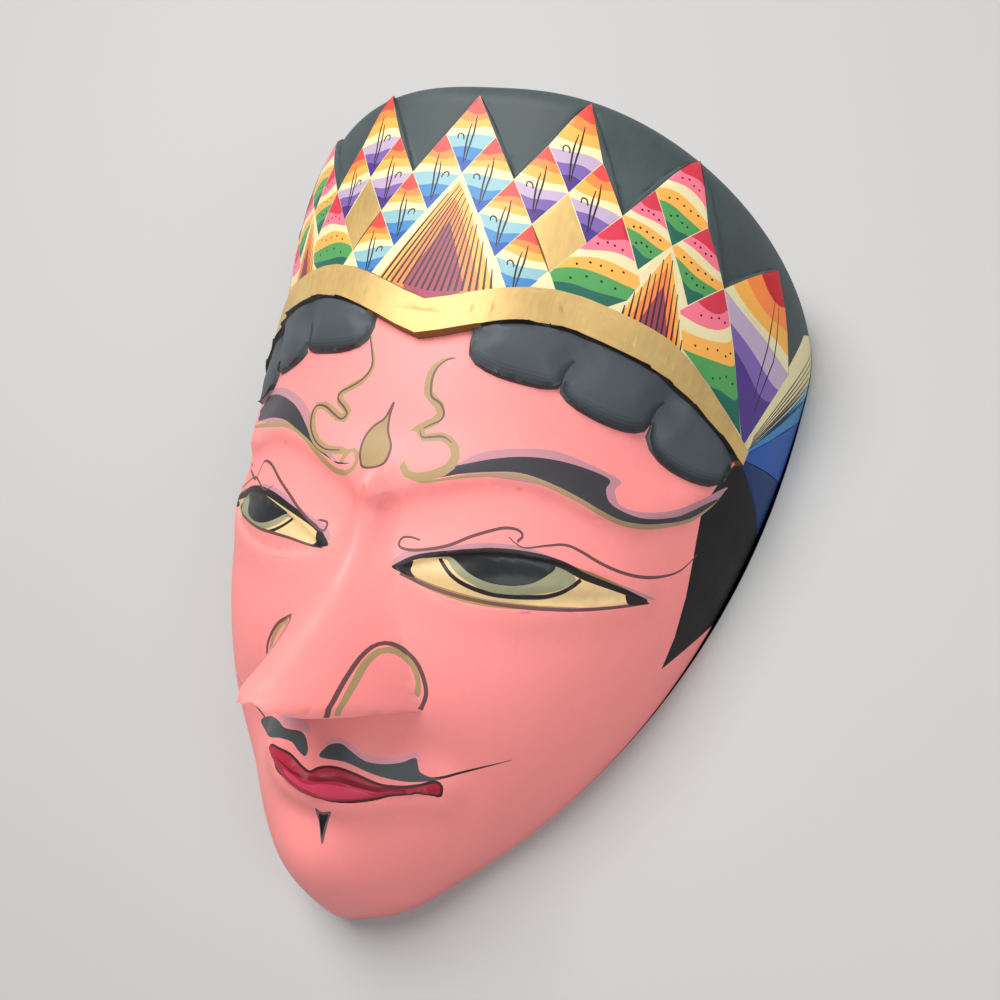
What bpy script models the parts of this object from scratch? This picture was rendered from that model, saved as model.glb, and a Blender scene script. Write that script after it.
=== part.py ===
"""Painted wooden wall mask: a face carved from one block of wood and hollowed behind.

The back of the rim is flat and lies on Z = 0, the crown is towards +Y and the face looks up along +Z.
The front is worked out from a plain shell, which the carving then raises. A place on the shell is given by
two shares: `across` runs from -1 to 1 over the half width, `along` from -1 at the chin to 1 at the crown.
"""
import math

import bmesh
import bpy
import numpy as np
from mathutils import Vector
from mathutils.geometry import delaunay_2d_cdt

# Driving sizes, in metres
LENGTH = 0.200              # chin to crown
WIDTH = 0.152               # across the back at its widest
CHIN_DEPTH = 0.0674         # depth of the shell at the mouth, before the chin rounds it off
FACE_DEPTH = 0.0652         # depth of the shell between the brows
CROWN_DEPTH = 0.0764        # depth of the shell above the headband
WALL = 0.009                # thickness of the wood
NOSE_RISE = 0.0277          # nose tip above the shell
NOSE_ROOT_RISE = 0.0034     # nose root above the shell
NOSE_HALF_WIDTH = 0.0205    # at the wings
BAND_RISE = 0.0026          # headband above the shell
HAIR_RISE = 0.0014          # hair locks above the forehead
PATTERN_RISE = 0.0010       # painted points of the crown above the hair
BROW_RISE = 0.0018
LID_RISE = 0.0010
LIP_RISE = 0.0034
SOCKET_DEPTH = 0.0016       # hollow at the inner end of an eye
CHEEK_HOLLOW = 0.0035       # hollow at a corner of the mouth
CHIN_HOLLOW = 0.0018        # hollow between the lips and the chin
TEMPLE_HOLLOW = 0.0052      # hollow at the temples, under the ends of the headband
JAW_FULLNESS = 0.0016       # swelling beside the chin
EDGE_RUN = 0.0005           # width of the slope at the edge of a raised part
LID_EDGE = 0.0008           # width of the step from a lid down to the eye

# Steps of the solid's faces
SKIN_STEP = 0.0064
FACE_STEP = 0.0029          # over the brows, eyes, nose and mouth
HOLLOW_STEPS = 26

# Shape of the outline seen from the front, as shares
WIDEST_ALONG = 0.56
CROWN_ROUNDNESS = 2.8
JAW_CURVE = 2.21
CHIN_ROUNDNESS = 0.753

# Shape of the profile and of the cross sections, as shares
CROWN_TURN = 0.80
CHIN_TURN = 0.211
CHIN_FALL = 1.67
CREASE_AT_CHIN = 0.455
CREASE_AT_CROWN = 0.56
FULLNESS_AT_CROWN = 1.5

HALF = LENGTH / 2


def half_width(along):
    """Half the width of the rim at a height."""
    upper = np.clip((along - WIDEST_ALONG) / (1 - WIDEST_ALONG), 0, 1)
    lower = np.clip((WIDEST_ALONG - along) / (WIDEST_ALONG + 1), 0, 1)
    crown = np.maximum(1 - upper ** CROWN_ROUNDNESS, 0) ** (1 / CROWN_ROUNDNESS)
    jaw = np.maximum(1 - lower ** JAW_CURVE, 0) ** CHIN_ROUNDNESS
    return WIDTH / 2 * np.where(along > WIDEST_ALONG, crown, jaw)


def middle_depth(along):
    """Depth of the shell on the middle line: a curve through three depths, rounded off at both ends."""
    low, mid, high = -0.6, 0.0, 0.7
    curve = (CHIN_DEPTH * (along - mid) * (along - high) / ((low - mid) * (low - high))
             + FACE_DEPTH * (along - low) * (along - high) / ((mid - low) * (mid - high))
             + CROWN_DEPTH * (along - low) * (along - mid) / ((high - low) * (high - mid)))
    upper = np.clip((along - CROWN_TURN) / (1 - CROWN_TURN), 0, 1)
    lower = np.clip((CHIN_TURN - along) / (CHIN_TURN + 1), 0, 1)
    return curve * np.sqrt(np.maximum(1 - upper ** 2.1, 0)) * np.sqrt(np.maximum(1 - lower ** CHIN_FALL, 0))


def shell(across, along):
    """Points of the plain shell, which is keeled at the chin and round at the crown."""
    rise = (along + 1) / 2
    crease = CREASE_AT_CHIN + (CREASE_AT_CROWN - CREASE_AT_CHIN) * rise
    fullness = 1 + (FULLNESS_AT_CROWN - 1) * rise
    fall = (np.sqrt(across ** 2 + crease ** 2) - crease) / (np.sqrt(1 + crease ** 2) - crease)
    height = middle_depth(along) * np.sqrt(np.maximum(1 - fall ** fullness, 0))
    return np.stack([across * half_width(along), HALF * along, height], -1)


def flat_from_shares(across, along):
    """The shell rolled out flat: distances there are close to those on the wood."""
    return np.stack([half_width(along) * np.arcsin(across), HALF * np.arcsin(along)], -1)


def shares_from_flat(flat):
    along = np.sin(np.clip(flat[:, 1] / HALF, -math.pi / 2, math.pi / 2))
    turn = flat[:, 0] / np.maximum(half_width(along), 1e-6)
    return np.sin(np.clip(turn, -math.pi / 2, math.pi / 2)), along


def shell_normal(across, along):
    step = 1e-4
    a = np.clip(across, -1 + 2 * step, 1 - 2 * step)
    s = np.clip(along, -1 + 2 * step, 1 - 2 * step)
    over = shell(a + step, s) - shell(a - step, s)
    up = shell(a, s + step) - shell(a, s - step)
    normal = np.cross(over, up)
    return normal / np.linalg.norm(normal, axis=1, keepdims=True)


# Outlines of the raised parts, as points of the flat shell

def flat_line(shares, steps=6):
    """Straight stretches between places given as shares, with points in between."""
    corners = flat_from_shares(*np.array(shares, float).T)
    stretches = [np.linspace(a, b, steps, endpoint=False) for a, b in zip(corners[:-1], corners[1:])]
    return np.concatenate(stretches + [corners[-1:]])


def band_lift(across, rise, fall):
    """The headband dips at the middle, rises beside it and falls towards the ears."""
    across = np.abs(across)
    beside = np.sin(math.pi / 2 * np.minimum(across / 0.45, 1)) ** 1.3
    return rise * beside - fall * np.maximum((across - 0.66) / 0.29, 0) ** 1.6


def band_top(across):
    return 0.331 + band_lift(across, 0.086, 0.125)


def band_bottom(across):
    return 0.250 + band_lift(across, 0.090, 0.080)


BAND_END = 0.935


def band_outline():
    across = np.sin(np.linspace(-1, 1, 33) * math.asin(BAND_END))
    top = flat_from_shares(across, band_top(across))
    bottom = flat_from_shares(across[::-1], band_bottom(across[::-1]))
    return np.concatenate([top, bottom])


# Hanging locks: where each starts and ends across, and how low its ends and its middle hang
HAIR_LOBES = [(0.170, 0.452, 0.260, 0.232, 0.200), (0.452, 0.714, 0.232, 0.240, 0.186),
              (0.714, 0.925, 0.240, 0.252, 0.162)]


def hair_outline(side):
    """Three scalloped locks that hang under the headband on one side."""
    lower = []
    for start, end, start_level, end_level, low_level in HAIR_LOBES:
        for turn in np.linspace(0, math.pi, 10)[:-1]:
            share = (1 - math.cos(turn)) / 2
            level = start_level + (end_level - start_level) * share
            lower.append((start + (end - start) * share, level - (level - low_level) * math.sin(turn) ** 0.7))
    upper = [(a, band_bottom(a)) for a in np.linspace(0.925, 0.170, 12)]
    across, along = np.array(lower + upper).T
    return flat_from_shares(side * across, along)


# The crown's pattern is a lattice of lozenges: columns are turns round the crown, rows are steps down it
COLUMN_TURN = math.radians(4.85)
ROW_STEP = 0.089
FIRST_ROW = 0.812


def lattice(column, row):
    """A corner of the lozenge lattice, as shares; odd columns go with odd rows."""
    steps = abs(column) + 0.25 * max(abs(column) - 8, 0)
    along = FIRST_ROW - ROW_STEP * row - 0.045 * (column / 10) ** 2
    if row == 0 and column:
        steps += 0.45 + 0.16 * (abs(column) - 4)
        along += 0.028 + 0.005 * (abs(column) - 4)
    return math.copysign(math.sin(COLUMN_TURN * steps), column), along


SIDE_POINT = [(0.898, 0.731), (0.964, 0.540), (0.932, 0.305)]


def crown_outline():
    """Edge of the pointed pattern that rises above the headband."""
    right = [lattice(0, 0), lattice(2, 2), lattice(4, 0), lattice(6, 2), lattice(8, 0), lattice(10, 2)] + SIDE_POINT
    left = [(-a, s) for a, s in right[:0:-1]]
    edge = flat_line(left + right, 4)
    across = np.linspace(SIDE_POINT[-1][0], -SIDE_POINT[-1][0], 33)
    return np.concatenate([edge, flat_from_shares(across, band_top(across))])


EYE_INNER = (0.147, -0.250)
EYE_OUTER = (0.850, -0.125)


def eye_lid(side, rise, steps=15):
    """One lid line from the inner corner to the outer one, arched by `rise`."""
    turn = np.linspace(0, 1, steps)
    across = EYE_INNER[0] + (EYE_OUTER[0] - EYE_INNER[0]) * turn
    along = EYE_INNER[1] + (EYE_OUTER[1] - EYE_INNER[1]) * turn + rise * np.sin(math.pi * turn) ** 0.8
    return flat_from_shares(side * across, along)


def eye_outline(side):
    return np.concatenate([eye_lid(side, 0.042), eye_lid(side, -0.076)[-2:0:-1]])


UPPER_LIP = [(-0.39, -0.667), (-0.14, -0.667), (-0.066, -0.680), (0.0, -0.691), (0.052, -0.679), (0.16, -0.670),
             (0.32, -0.680), (0.45, -0.670), (0.60, -0.651), (0.645, -0.650)]
LOWER_LIP = [(0.645, -0.669), (0.49, -0.689), (0.355, -0.707), (0.178, -0.735), (0.06, -0.744), (-0.05, -0.740),
             (-0.16, -0.728), (-0.26, -0.704)]


def lips_outline():
    return flat_line(UPPER_LIP + LOWER_LIP + UPPER_LIP[:1], 3)[:-1]


def offset_outline(outline, distance):
    """The outline moved outwards, away from its middle side."""
    ahead = np.roll(outline, -1, 0) - outline
    behind = outline - np.roll(outline, 1, 0)
    run = ahead / np.linalg.norm(ahead, axis=1, keepdims=True)
    run = run + behind / np.linalg.norm(behind, axis=1, keepdims=True)
    out = np.stack([run[:, 1], -run[:, 0]], -1)
    out /= np.maximum(np.linalg.norm(out, axis=1, keepdims=True), 0.3)
    x, y = outline.T
    area = (x * np.roll(y, -1) - y * np.roll(x, -1)).sum()
    return outline + math.copysign(distance, area) * out


def inside(points, outline):
    """Which points lie inside a closed outline."""
    result = np.zeros(len(points), bool)
    for a, b in zip(outline, np.roll(outline, -1, 0)):
        crosses = (a[1] > points[:, 1]) != (b[1] > points[:, 1])
        if crosses.any():
            at = (b[0] - a[0]) * (points[:, 1] - a[1]) / (b[1] - a[1] + 1e-15) + a[0]
            result ^= crosses & (points[:, 0] < at)
    return result


def distance_to(points, outline, closed=True):
    best = np.full(len(points), 1e9)
    ends = np.roll(outline, -1, 0) if closed else outline[1:]
    for a, b in zip(outline, ends):
        run = b - a
        share = np.clip(((points - a) @ run) / max(run @ run, 1e-18), 0, 1)
        best = np.minimum(best, np.linalg.norm(points - a - share[:, None] * run, axis=1))
    return best


def raised(points, outline, rise, run=EDGE_RUN):
    """Height of a raised part: full inside its outline, falling to nothing over `run` outside it."""
    gap = np.where(inside(points, outline), 0, distance_to(points, outline))
    return rise * np.clip(1 - gap / run, 0, 1)


def smooth(value):
    value = np.clip(value, 0, 1)
    return value * value * (3 - 2 * value)


# Carving of the face

NOSE_ROOT = 0.03
NOSE_BRIDGE = -0.15
NOSE_BASE = -0.5126
NOSE_UNDERSIDE = 0.007      # how far the underside reaches back along the shell, as a share
NOSE_BASE_SAG = 0.0198      # how far the base line sags between the tip and a wing
NOSE_DROOP = 0.395          # how far the tip leans down for each unit that it stands out
NOSE_SWEEP = 2.62           # how much of the rise comes near the tip: a higher power is later


def nose_base(reach):
    """Where the nose ends, from its middle (reach 0) out to a wing (reach 1)."""
    return NOSE_BASE - NOSE_BASE_SAG * np.sin(math.pi * np.clip(reach, 0, 1) ** 0.8)


def nose_half_width(along):
    down = np.clip((NOSE_BRIDGE - along) / (NOSE_BRIDGE - NOSE_BASE), 0, 1)
    return 0.3 * NOSE_HALF_WIDTH + 0.7 * NOSE_HALF_WIDTH * down ** 1.2


def nose_height(across, along):
    """Height of the wedge nose, measured along its own leaning direction."""
    down = np.clip((NOSE_BRIDGE - along) / (NOSE_BRIDGE - NOSE_BASE), 0, 1)
    ridge = NOSE_ROOT_RISE + (NOSE_RISE - NOSE_ROOT_RISE) * down ** NOSE_SWEEP
    ridge = ridge * smooth((NOSE_ROOT - along) / 0.20)
    reach = np.abs(across * half_width(along)) / nose_half_width(along)
    blunt = 0.50 - 0.28 * down
    fall = (np.sqrt(reach ** 2 + blunt ** 2) - blunt) / (np.sqrt(1 + blunt ** 2) - blunt)
    side = np.clip(1 - fall, 0, 1) ** (1.35 - 0.35 * down ** 2)
    under = np.clip((along - nose_base(reach) + NOSE_UNDERSIDE) / NOSE_UNDERSIDE, 0, 1)
    return ridge * side * under


BROW_LINE = [(0.04, -0.105), (0.13, -0.068), (0.21, -0.048), (0.31, -0.016), (0.42, 0.008), (0.53, 0.013),
             (0.64, 0.006), (0.75, 0.018), (0.85, 0.085), (0.89, 0.16)]


def brow_line(side):
    """Lower edge of a brow, where the ridge above it drops into the eye socket."""
    return flat_line([(side * a, s) for a, s in BROW_LINE], 3)


def brow_height(points, side):
    line = brow_line(side)
    gap = distance_to(points, line, closed=False)
    order = np.argsort(line[:, 0])
    upward = points[:, 1] - np.interp(points[:, 0], line[order, 0], line[order, 1])
    width = 0.0026 + 0.0049 * smooth(0.5 + 0.5 * upward / np.maximum(gap, 1e-6))
    return BROW_RISE * np.exp(-(gap / width) ** 2)


def dent(points, across, along, radius):
    """A soft round hollow, 1 deep at a place given as shares."""
    place = flat_from_shares(np.array([across]), np.array([along]))
    return np.exp(-(np.linalg.norm(points - place, axis=1) / radius) ** 2)


def face_height(points):
    """Height of the brows, lids and lips above the shell."""
    height = np.zeros(len(points))
    for side in (-1, 1):
        height += brow_height(points, side)
        height -= SOCKET_DEPTH * dent(points, side * 0.17, -0.20, 0.013)
        height -= CHEEK_HOLLOW * dent(points, side * 0.56, -0.63, 0.013)
        height -= TEMPLE_HOLLOW * dent(points, side * 0.80, 0.25, 0.036)
        height += JAW_FULLNESS * dent(points, side * 0.58, -0.88, 0.021)
        eye = eye_outline(side)
        gap = distance_to(points, eye)
        ball = 1 - 0.75 * np.clip(gap / LID_EDGE, 0, 1) + 1.1 * smooth(gap / 0.006)
        height += LID_RISE * np.where(inside(points, eye), ball, np.exp(-(gap / 0.005) ** 2))
    height -= CHIN_HOLLOW * dent(points, 0.0, -0.79, 0.009)
    lips = lips_outline()
    gap = distance_to(points, lips)
    full = 0.65 + 0.35 * smooth(gap / 0.0024)
    height += LIP_RISE * np.where(inside(points, lips), full, 0.65 * np.exp(-(gap / 0.0055) ** 2))
    return height


def carved(flat):
    """Points of the carved front for places on the flat shell."""
    across, along = shares_from_flat(flat)
    height = face_height(flat)
    raised_parts = [raised(flat, band_outline(), BAND_RISE), raised(flat, crown_outline(), PATTERN_RISE)]
    raised_parts += [raised(flat, hair_outline(side), HAIR_RISE) for side in (-1, 1)]
    height = height + np.max(raised_parts, axis=0)
    nose = nose_height(across, along)
    points = shell(across, along) + shell_normal(across, along) * height[:, None]
    points[:, 1] -= NOSE_DROOP * nose
    points[:, 2] += nose
    points[:, 2] = np.maximum(points[:, 2], 0)
    points[np.abs(across) > 1 - 1e-9, 2] = 0
    return points


# Solids

def rim_outline(step):
    """The rim as an outline of the flat shell."""
    turns = np.linspace(-math.pi / 2, math.pi / 2, int(math.pi * HALF / step) + 1)
    widths = half_width(np.sin(turns)) * math.pi / 2
    widths[0] = widths[-1] = 0
    right = np.stack([widths, HALF * turns], -1)
    return np.concatenate([right, right[-2:0:-1] * (-1, 1)])


def guide_lines():
    """Every outline that faces of the solid follow, with the foot of each slope."""
    lines = []
    for outline in [band_outline(), crown_outline(), hair_outline(-1), hair_outline(1)]:
        lines.append((outline, True))
        lines.append((offset_outline(outline, EDGE_RUN), True))
    for side in (-1, 1):
        lines.append((eye_outline(side), True))
        lines.append((offset_outline(eye_outline(side), -LID_EDGE), True))
        lines.append((brow_line(side), False))
        lines.append((brow_line(side) - (0, 0.0024), False))
    lines.append((lips_outline(), True))
    for reach in (-1, -0.4, 0, 0.4, 1):
        along = np.linspace(nose_base(abs(reach)), NOSE_ROOT, 24)
        across = reach * nose_half_width(along) / half_width(along)
        lines.append((flat_from_shares(across, along), False))
    reach = np.linspace(-1, 1, 17)
    for back in (0, NOSE_UNDERSIDE):
        along = nose_base(np.abs(reach)) - back
        lines.append((flat_from_shares(reach * NOSE_HALF_WIDTH / half_width(along), along), False))
    return lines


def face_area():
    return flat_line([(-0.96, 0.12), (-0.96, -0.5), (-0.8, -0.84), (0.8, -0.84), (0.96, -0.5), (0.96, 0.12)], 4)


def skin_plan(step, face_step):
    """A flat plan of the skin: its points, and triangles that follow the rim and every guide line."""
    rim = rim_outline(step)
    points = list(rim)
    edges = [(i, (i + 1) % len(rim)) for i in range(len(rim))]
    for line, closed in guide_lines():
        first = len(points)
        points += list(line)
        edges += [(first + i, first + i + 1) for i in range(len(line) - 1)]
        if closed:
            edges.append((len(points) - 1, first))
    drawn = np.array(points)
    reach = np.abs(rim).max(0)
    for spacing, wants_face in ((step, False), (face_step, True)):
        row, column = [np.arange(-size, size, spacing) for size in reach]
        grid = np.stack(np.meshgrid(row, column), -1)
        grid[1::2, :, 0] += spacing / 2
        grid = grid.reshape(-1, 2)
        grid = grid[inside(grid, rim) & (inside(grid, face_area()) == wants_face)]
        nearest = np.min(np.linalg.norm(grid[:, None] - drawn[None], axis=2), axis=1)
        points += list(grid[nearest > 0.55 * spacing])
    vectors = [Vector((float(x), float(y))) for x, y in points]
    verts, _, faces, *_ = delaunay_2d_cdt(vectors, edges, [list(range(len(rim)))], 1, 1e-7)
    return np.array([tuple(v) for v in verts]), faces


def add_mesh(name, verts, faces, collection):
    mesh = bpy.data.meshes.new(name)
    mesh.from_pydata([tuple(map(float, v)) for v in verts], [], faces)
    item = bpy.data.objects.new(name, mesh)
    collection.objects.link(item)
    return item


def close_open_edge(item):
    """Caps the open edge with one flat face and turns every face outwards."""
    bm = bmesh.new()
    bm.from_mesh(item.data)
    bmesh.ops.remove_doubles(bm, verts=bm.verts, dist=1e-6)
    bmesh.ops.dissolve_degenerate(bm, edges=bm.edges, dist=1e-6)
    open_edges = [edge for edge in bm.edges if edge.is_boundary]
    bmesh.ops.holes_fill(bm, edges=open_edges, sides=0)
    bmesh.ops.recalc_face_normals(bm, faces=bm.faces)
    bm.to_mesh(item.data)
    bm.free()


def make_block(collection):
    """The carved front as a closed solid with a flat back."""
    plan, faces = skin_plan(SKIN_STEP, FACE_STEP)
    item = add_mesh("carved_mask", carved(plan), faces, collection)
    close_open_edge(item)
    return item


def make_hollow(collection):
    """The space behind the face: the shell drawn in by the wall, with room behind the nose."""
    name = "mask_hollow"
    mesh = bpy.data.meshes.new(name)
    bm = bmesh.new()
    bmesh.ops.create_grid(bm, x_segments=HOLLOW_STEPS, y_segments=HOLLOW_STEPS, size=1.0)
    plan = np.array([vert.co[:2] for vert in bm.verts])
    across, along = np.sin(plan[:, 0] * math.pi / 2), np.sin(plan[:, 1] * math.pi / 2)
    points = shell(across, along)
    middle = middle_depth(np.zeros(1))[0]
    points *= (1 - WALL / (WIDTH / 2), 1 - WALL / HALF, 1 - WALL / middle)
    nose = nose_height(across * 0.8, np.clip(along, NOSE_BASE, 1)) * 0.35
    fade = smooth((along - NOSE_BASE + 0.22) / 0.22)
    points[:, 2] += nose * fade
    for vert, point in zip(bm.verts, points):
        vert.co = point
    bmesh.ops.remove_doubles(bm, verts=bm.verts, dist=1e-6)
    rim = [edge for edge in bm.edges if edge.is_boundary]
    skirt = bmesh.ops.extrude_edge_only(bm, edges=rim)["geom"]
    bmesh.ops.translate(bm, verts=[v for v in skirt if isinstance(v, bmesh.types.BMVert)], vec=(0, 0, -WALL))
    bmesh.ops.holes_fill(bm, edges=[edge for edge in bm.edges if edge.is_boundary], sides=0)
    bmesh.ops.recalc_face_normals(bm, faces=bm.faces)
    bm.to_mesh(mesh)
    bm.free()
    item = bpy.data.objects.new(name, mesh)
    item.display_type = "WIRE"
    item.hide_render = True
    collection.objects.link(item)
    return item


def wood_material():
    material = bpy.data.materials.new("painted_wood")
    material.use_nodes = True
    shader = material.node_tree.nodes["Principled BSDF"]
    shader.inputs["Base Color"].default_value = (0.86, 0.33, 0.30, 1)
    shader.inputs["Roughness"].default_value = 0.38
    shader.inputs["Metallic"].default_value = 0.0
    return material


def new_collection(name):
    collection = bpy.data.collections.new(name)
    bpy.context.scene.collection.children.link(collection)
    return collection


def build():
    for item in list(bpy.data.objects):
        bpy.data.objects.remove(item, do_unlink=True)
    mask_parts = new_collection("wall_mask")
    cutters = new_collection("cutters")
    block = make_block(mask_parts)
    hollow = make_hollow(cutters)
    cut = block.modifiers.new("hollow", "BOOLEAN")
    cut.operation = "DIFFERENCE"
    cut.solver = "EXACT"
    cut.object = hollow
    block.data.materials.append(wood_material())
    for polygon in block.data.polygons:
        polygon.use_smooth = True


build()
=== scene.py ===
"""Painted wooden wall mask lying on its flat rim: the fine carving, the paint and the bare wood behind.

As in the solid, a place on the front is given by two shares of a plain shell: `across` runs from -1 to 1 over
the half width, `along` from -1 at the chin to 1 at the crown. The paint is laid out on the shell rolled flat,
every edge of a colour is an edge of the mesh, and each face takes the colour painted there last.
"""
import math

import bmesh
import bpy
import numpy as np
from mathutils import Matrix, Vector
from mathutils.bvhtree import BVHTree
from mathutils.geometry import barycentric_transform, delaunay_2d_cdt
from mathutils.kdtree import KDTree


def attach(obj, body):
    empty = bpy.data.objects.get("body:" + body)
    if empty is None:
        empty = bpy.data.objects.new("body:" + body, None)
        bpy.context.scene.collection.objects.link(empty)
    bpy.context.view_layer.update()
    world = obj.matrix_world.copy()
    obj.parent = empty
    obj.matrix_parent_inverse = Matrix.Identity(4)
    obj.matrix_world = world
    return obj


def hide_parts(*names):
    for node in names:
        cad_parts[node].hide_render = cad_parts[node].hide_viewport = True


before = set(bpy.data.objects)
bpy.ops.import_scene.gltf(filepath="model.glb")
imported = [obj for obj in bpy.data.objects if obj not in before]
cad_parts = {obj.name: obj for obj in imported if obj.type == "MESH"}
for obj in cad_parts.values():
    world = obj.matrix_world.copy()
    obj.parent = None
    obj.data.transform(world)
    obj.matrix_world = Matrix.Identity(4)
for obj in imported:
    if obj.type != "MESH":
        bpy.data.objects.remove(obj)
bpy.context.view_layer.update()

# Steps of the mesh, in metres
RIM_STEP = 0.0018
SKIN_STEP = 0.00125
COARSE_STEP = 0.0024        # of the skin that places of the photograph are found on
HOLLOW_COLUMNS = 50

# Camera of the photograph
CAMERA_PLACE = np.array([0.1083, -0.06834, 0.2459])
CAMERA_RIGHT = np.array([0.9067, 0.3092, -0.2868])
CAMERA_UP = np.array([-0.1874, 0.9046, 0.3829])
CAMERA_BACK = np.array([0.3779, -0.2935, 0.8781])
FOCAL_PIXELS = 1010
FRAME_PIXELS = 1000
SENSOR = 36.0

# Driving sizes, in metres
LENGTH = 0.200              # chin to crown
WIDTH = 0.152               # across the back at its widest
CHIN_DEPTH = 0.0674         # depth of the shell at the mouth, before the chin rounds it off
FACE_DEPTH = 0.0652         # depth of the shell between the brows
CROWN_DEPTH = 0.0764        # depth of the shell above the headband
WALL = 0.009                # thickness of the wood
NOSE_RISE = 0.0277          # nose tip above the shell
NOSE_ROOT_RISE = 0.0034     # nose root above the shell
NOSE_HALF_WIDTH = 0.0205    # at the wings
BAND_RISE = 0.0026          # headband above the shell
HAIR_RISE = 0.0014          # hair locks above the forehead
PATTERN_RISE = 0.0010       # painted points of the crown above the hair
BROW_RISE = 0.0018
LID_RISE = 0.0010
LIP_RISE = 0.0034
SOCKET_DEPTH = 0.0016       # hollow at the inner end of an eye
CHEEK_HOLLOW = 0.0035       # hollow at a corner of the mouth
CHIN_HOLLOW = 0.0018        # hollow between the lips and the chin
TEMPLE_HOLLOW = 0.0052      # hollow at the temples, under the ends of the headband
JAW_FULLNESS = 0.0016       # swelling beside the chin
EDGE_RUN = 0.0005           # width of the slope at the edge of a raised part
LID_EDGE = 0.0008           # width of the step from a lid down to the eye

# Shape of the outline seen from the front, as shares
WIDEST_ALONG = 0.56
CROWN_ROUNDNESS = 2.8
JAW_CURVE = 2.21
CHIN_ROUNDNESS = 0.753

# Shape of the profile and of the cross sections, as shares
CROWN_TURN = 0.80
CHIN_TURN = 0.211
CHIN_FALL = 1.67
CREASE_AT_CHIN = 0.455
CREASE_AT_CROWN = 0.56
FULLNESS_AT_CROWN = 1.5

HALF = LENGTH / 2


def half_width(along):
    """Half the width of the rim at a height."""
    upper = np.clip((along - WIDEST_ALONG) / (1 - WIDEST_ALONG), 0, 1)
    lower = np.clip((WIDEST_ALONG - along) / (WIDEST_ALONG + 1), 0, 1)
    crown = np.maximum(1 - upper ** CROWN_ROUNDNESS, 0) ** (1 / CROWN_ROUNDNESS)
    jaw = np.maximum(1 - lower ** JAW_CURVE, 0) ** CHIN_ROUNDNESS
    return WIDTH / 2 * np.where(along > WIDEST_ALONG, crown, jaw)


def middle_depth(along):
    """Depth of the shell on the middle line: a curve through three depths, rounded off at both ends."""
    low, mid, high = -0.6, 0.0, 0.7
    curve = (CHIN_DEPTH * (along - mid) * (along - high) / ((low - mid) * (low - high))
             + FACE_DEPTH * (along - low) * (along - high) / ((mid - low) * (mid - high))
             + CROWN_DEPTH * (along - low) * (along - mid) / ((high - low) * (high - mid)))
    upper = np.clip((along - CROWN_TURN) / (1 - CROWN_TURN), 0, 1)
    lower = np.clip((CHIN_TURN - along) / (CHIN_TURN + 1), 0, 1)
    return curve * np.sqrt(np.maximum(1 - upper ** 2.1, 0)) * np.sqrt(np.maximum(1 - lower ** CHIN_FALL, 0))


def shell(across, along):
    """Points of the plain shell, which is keeled at the chin and round at the crown."""
    rise = (along + 1) / 2
    crease = CREASE_AT_CHIN + (CREASE_AT_CROWN - CREASE_AT_CHIN) * rise
    fullness = 1 + (FULLNESS_AT_CROWN - 1) * rise
    fall = (np.sqrt(across ** 2 + crease ** 2) - crease) / (np.sqrt(1 + crease ** 2) - crease)
    height = middle_depth(along) * np.sqrt(np.maximum(1 - fall ** fullness, 0))
    return np.stack([across * half_width(along), HALF * along, height], -1)


def flat_from_shares(across, along):
    """The shell rolled out flat: distances there are close to those on the wood."""
    return np.stack([half_width(along) * np.arcsin(across), HALF * np.arcsin(along)], -1)


def shares_from_flat(flat):
    along = np.sin(np.clip(flat[:, 1] / HALF, -math.pi / 2, math.pi / 2))
    turn = flat[:, 0] / np.maximum(half_width(along), 1e-6)
    return np.sin(np.clip(turn, -math.pi / 2, math.pi / 2)), along


def shell_normal(across, along):
    step = 1e-4
    a = np.clip(across, -1 + 2 * step, 1 - 2 * step)
    s = np.clip(along, -1 + 2 * step, 1 - 2 * step)
    over = shell(a + step, s) - shell(a - step, s)
    up = shell(a, s + step) - shell(a, s - step)
    normal = np.cross(over, up)
    return normal / np.linalg.norm(normal, axis=1, keepdims=True)


# Outlines of the raised parts, as points of the flat shell

def flat_line(shares, steps=6):
    """Straight stretches between places given as shares, with points in between."""
    corners = flat_from_shares(*np.array(shares, float).T)
    stretches = [np.linspace(a, b, steps, endpoint=False) for a, b in zip(corners[:-1], corners[1:])]
    return np.concatenate(stretches + [corners[-1:]])


def band_lift(across, rise, fall):
    """The headband dips at the middle, rises beside it and falls towards the ears."""
    across = np.abs(across)
    beside = np.sin(math.pi / 2 * np.minimum(across / 0.45, 1)) ** 1.3
    return rise * beside - fall * np.maximum((across - 0.66) / 0.29, 0) ** 1.6


def band_top(across):
    return 0.331 + band_lift(across, 0.086, 0.125)


def band_bottom(across):
    return 0.250 + band_lift(across, 0.090, 0.080)


BAND_END = 0.935


def band_outline():
    across = np.sin(np.linspace(-1, 1, 33) * math.asin(BAND_END))
    top = flat_from_shares(across, band_top(across))
    bottom = flat_from_shares(across[::-1], band_bottom(across[::-1]))
    return np.concatenate([top, bottom])


# Hanging locks: where each starts and ends across, and how low its ends and its middle hang
HAIR_LOBES = [
    (0.170, 0.452, 0.260, 0.232, 0.200), (0.452, 0.714, 0.232, 0.240, 0.186),
    (0.714, 0.925, 0.240, 0.252, 0.162)
]


def lobe_places(lobe, turns):
    """Places along the lower edge of one hanging lock, as shares."""
    start, end, start_level, end_level, low_level = lobe
    share = (1 - np.cos(turns)) / 2
    level = start_level + (end_level - start_level) * share
    hang = (level - low_level) * np.sin(turns) ** 0.7
    return np.stack([start + (end - start) * share, level - hang], -1)


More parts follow.
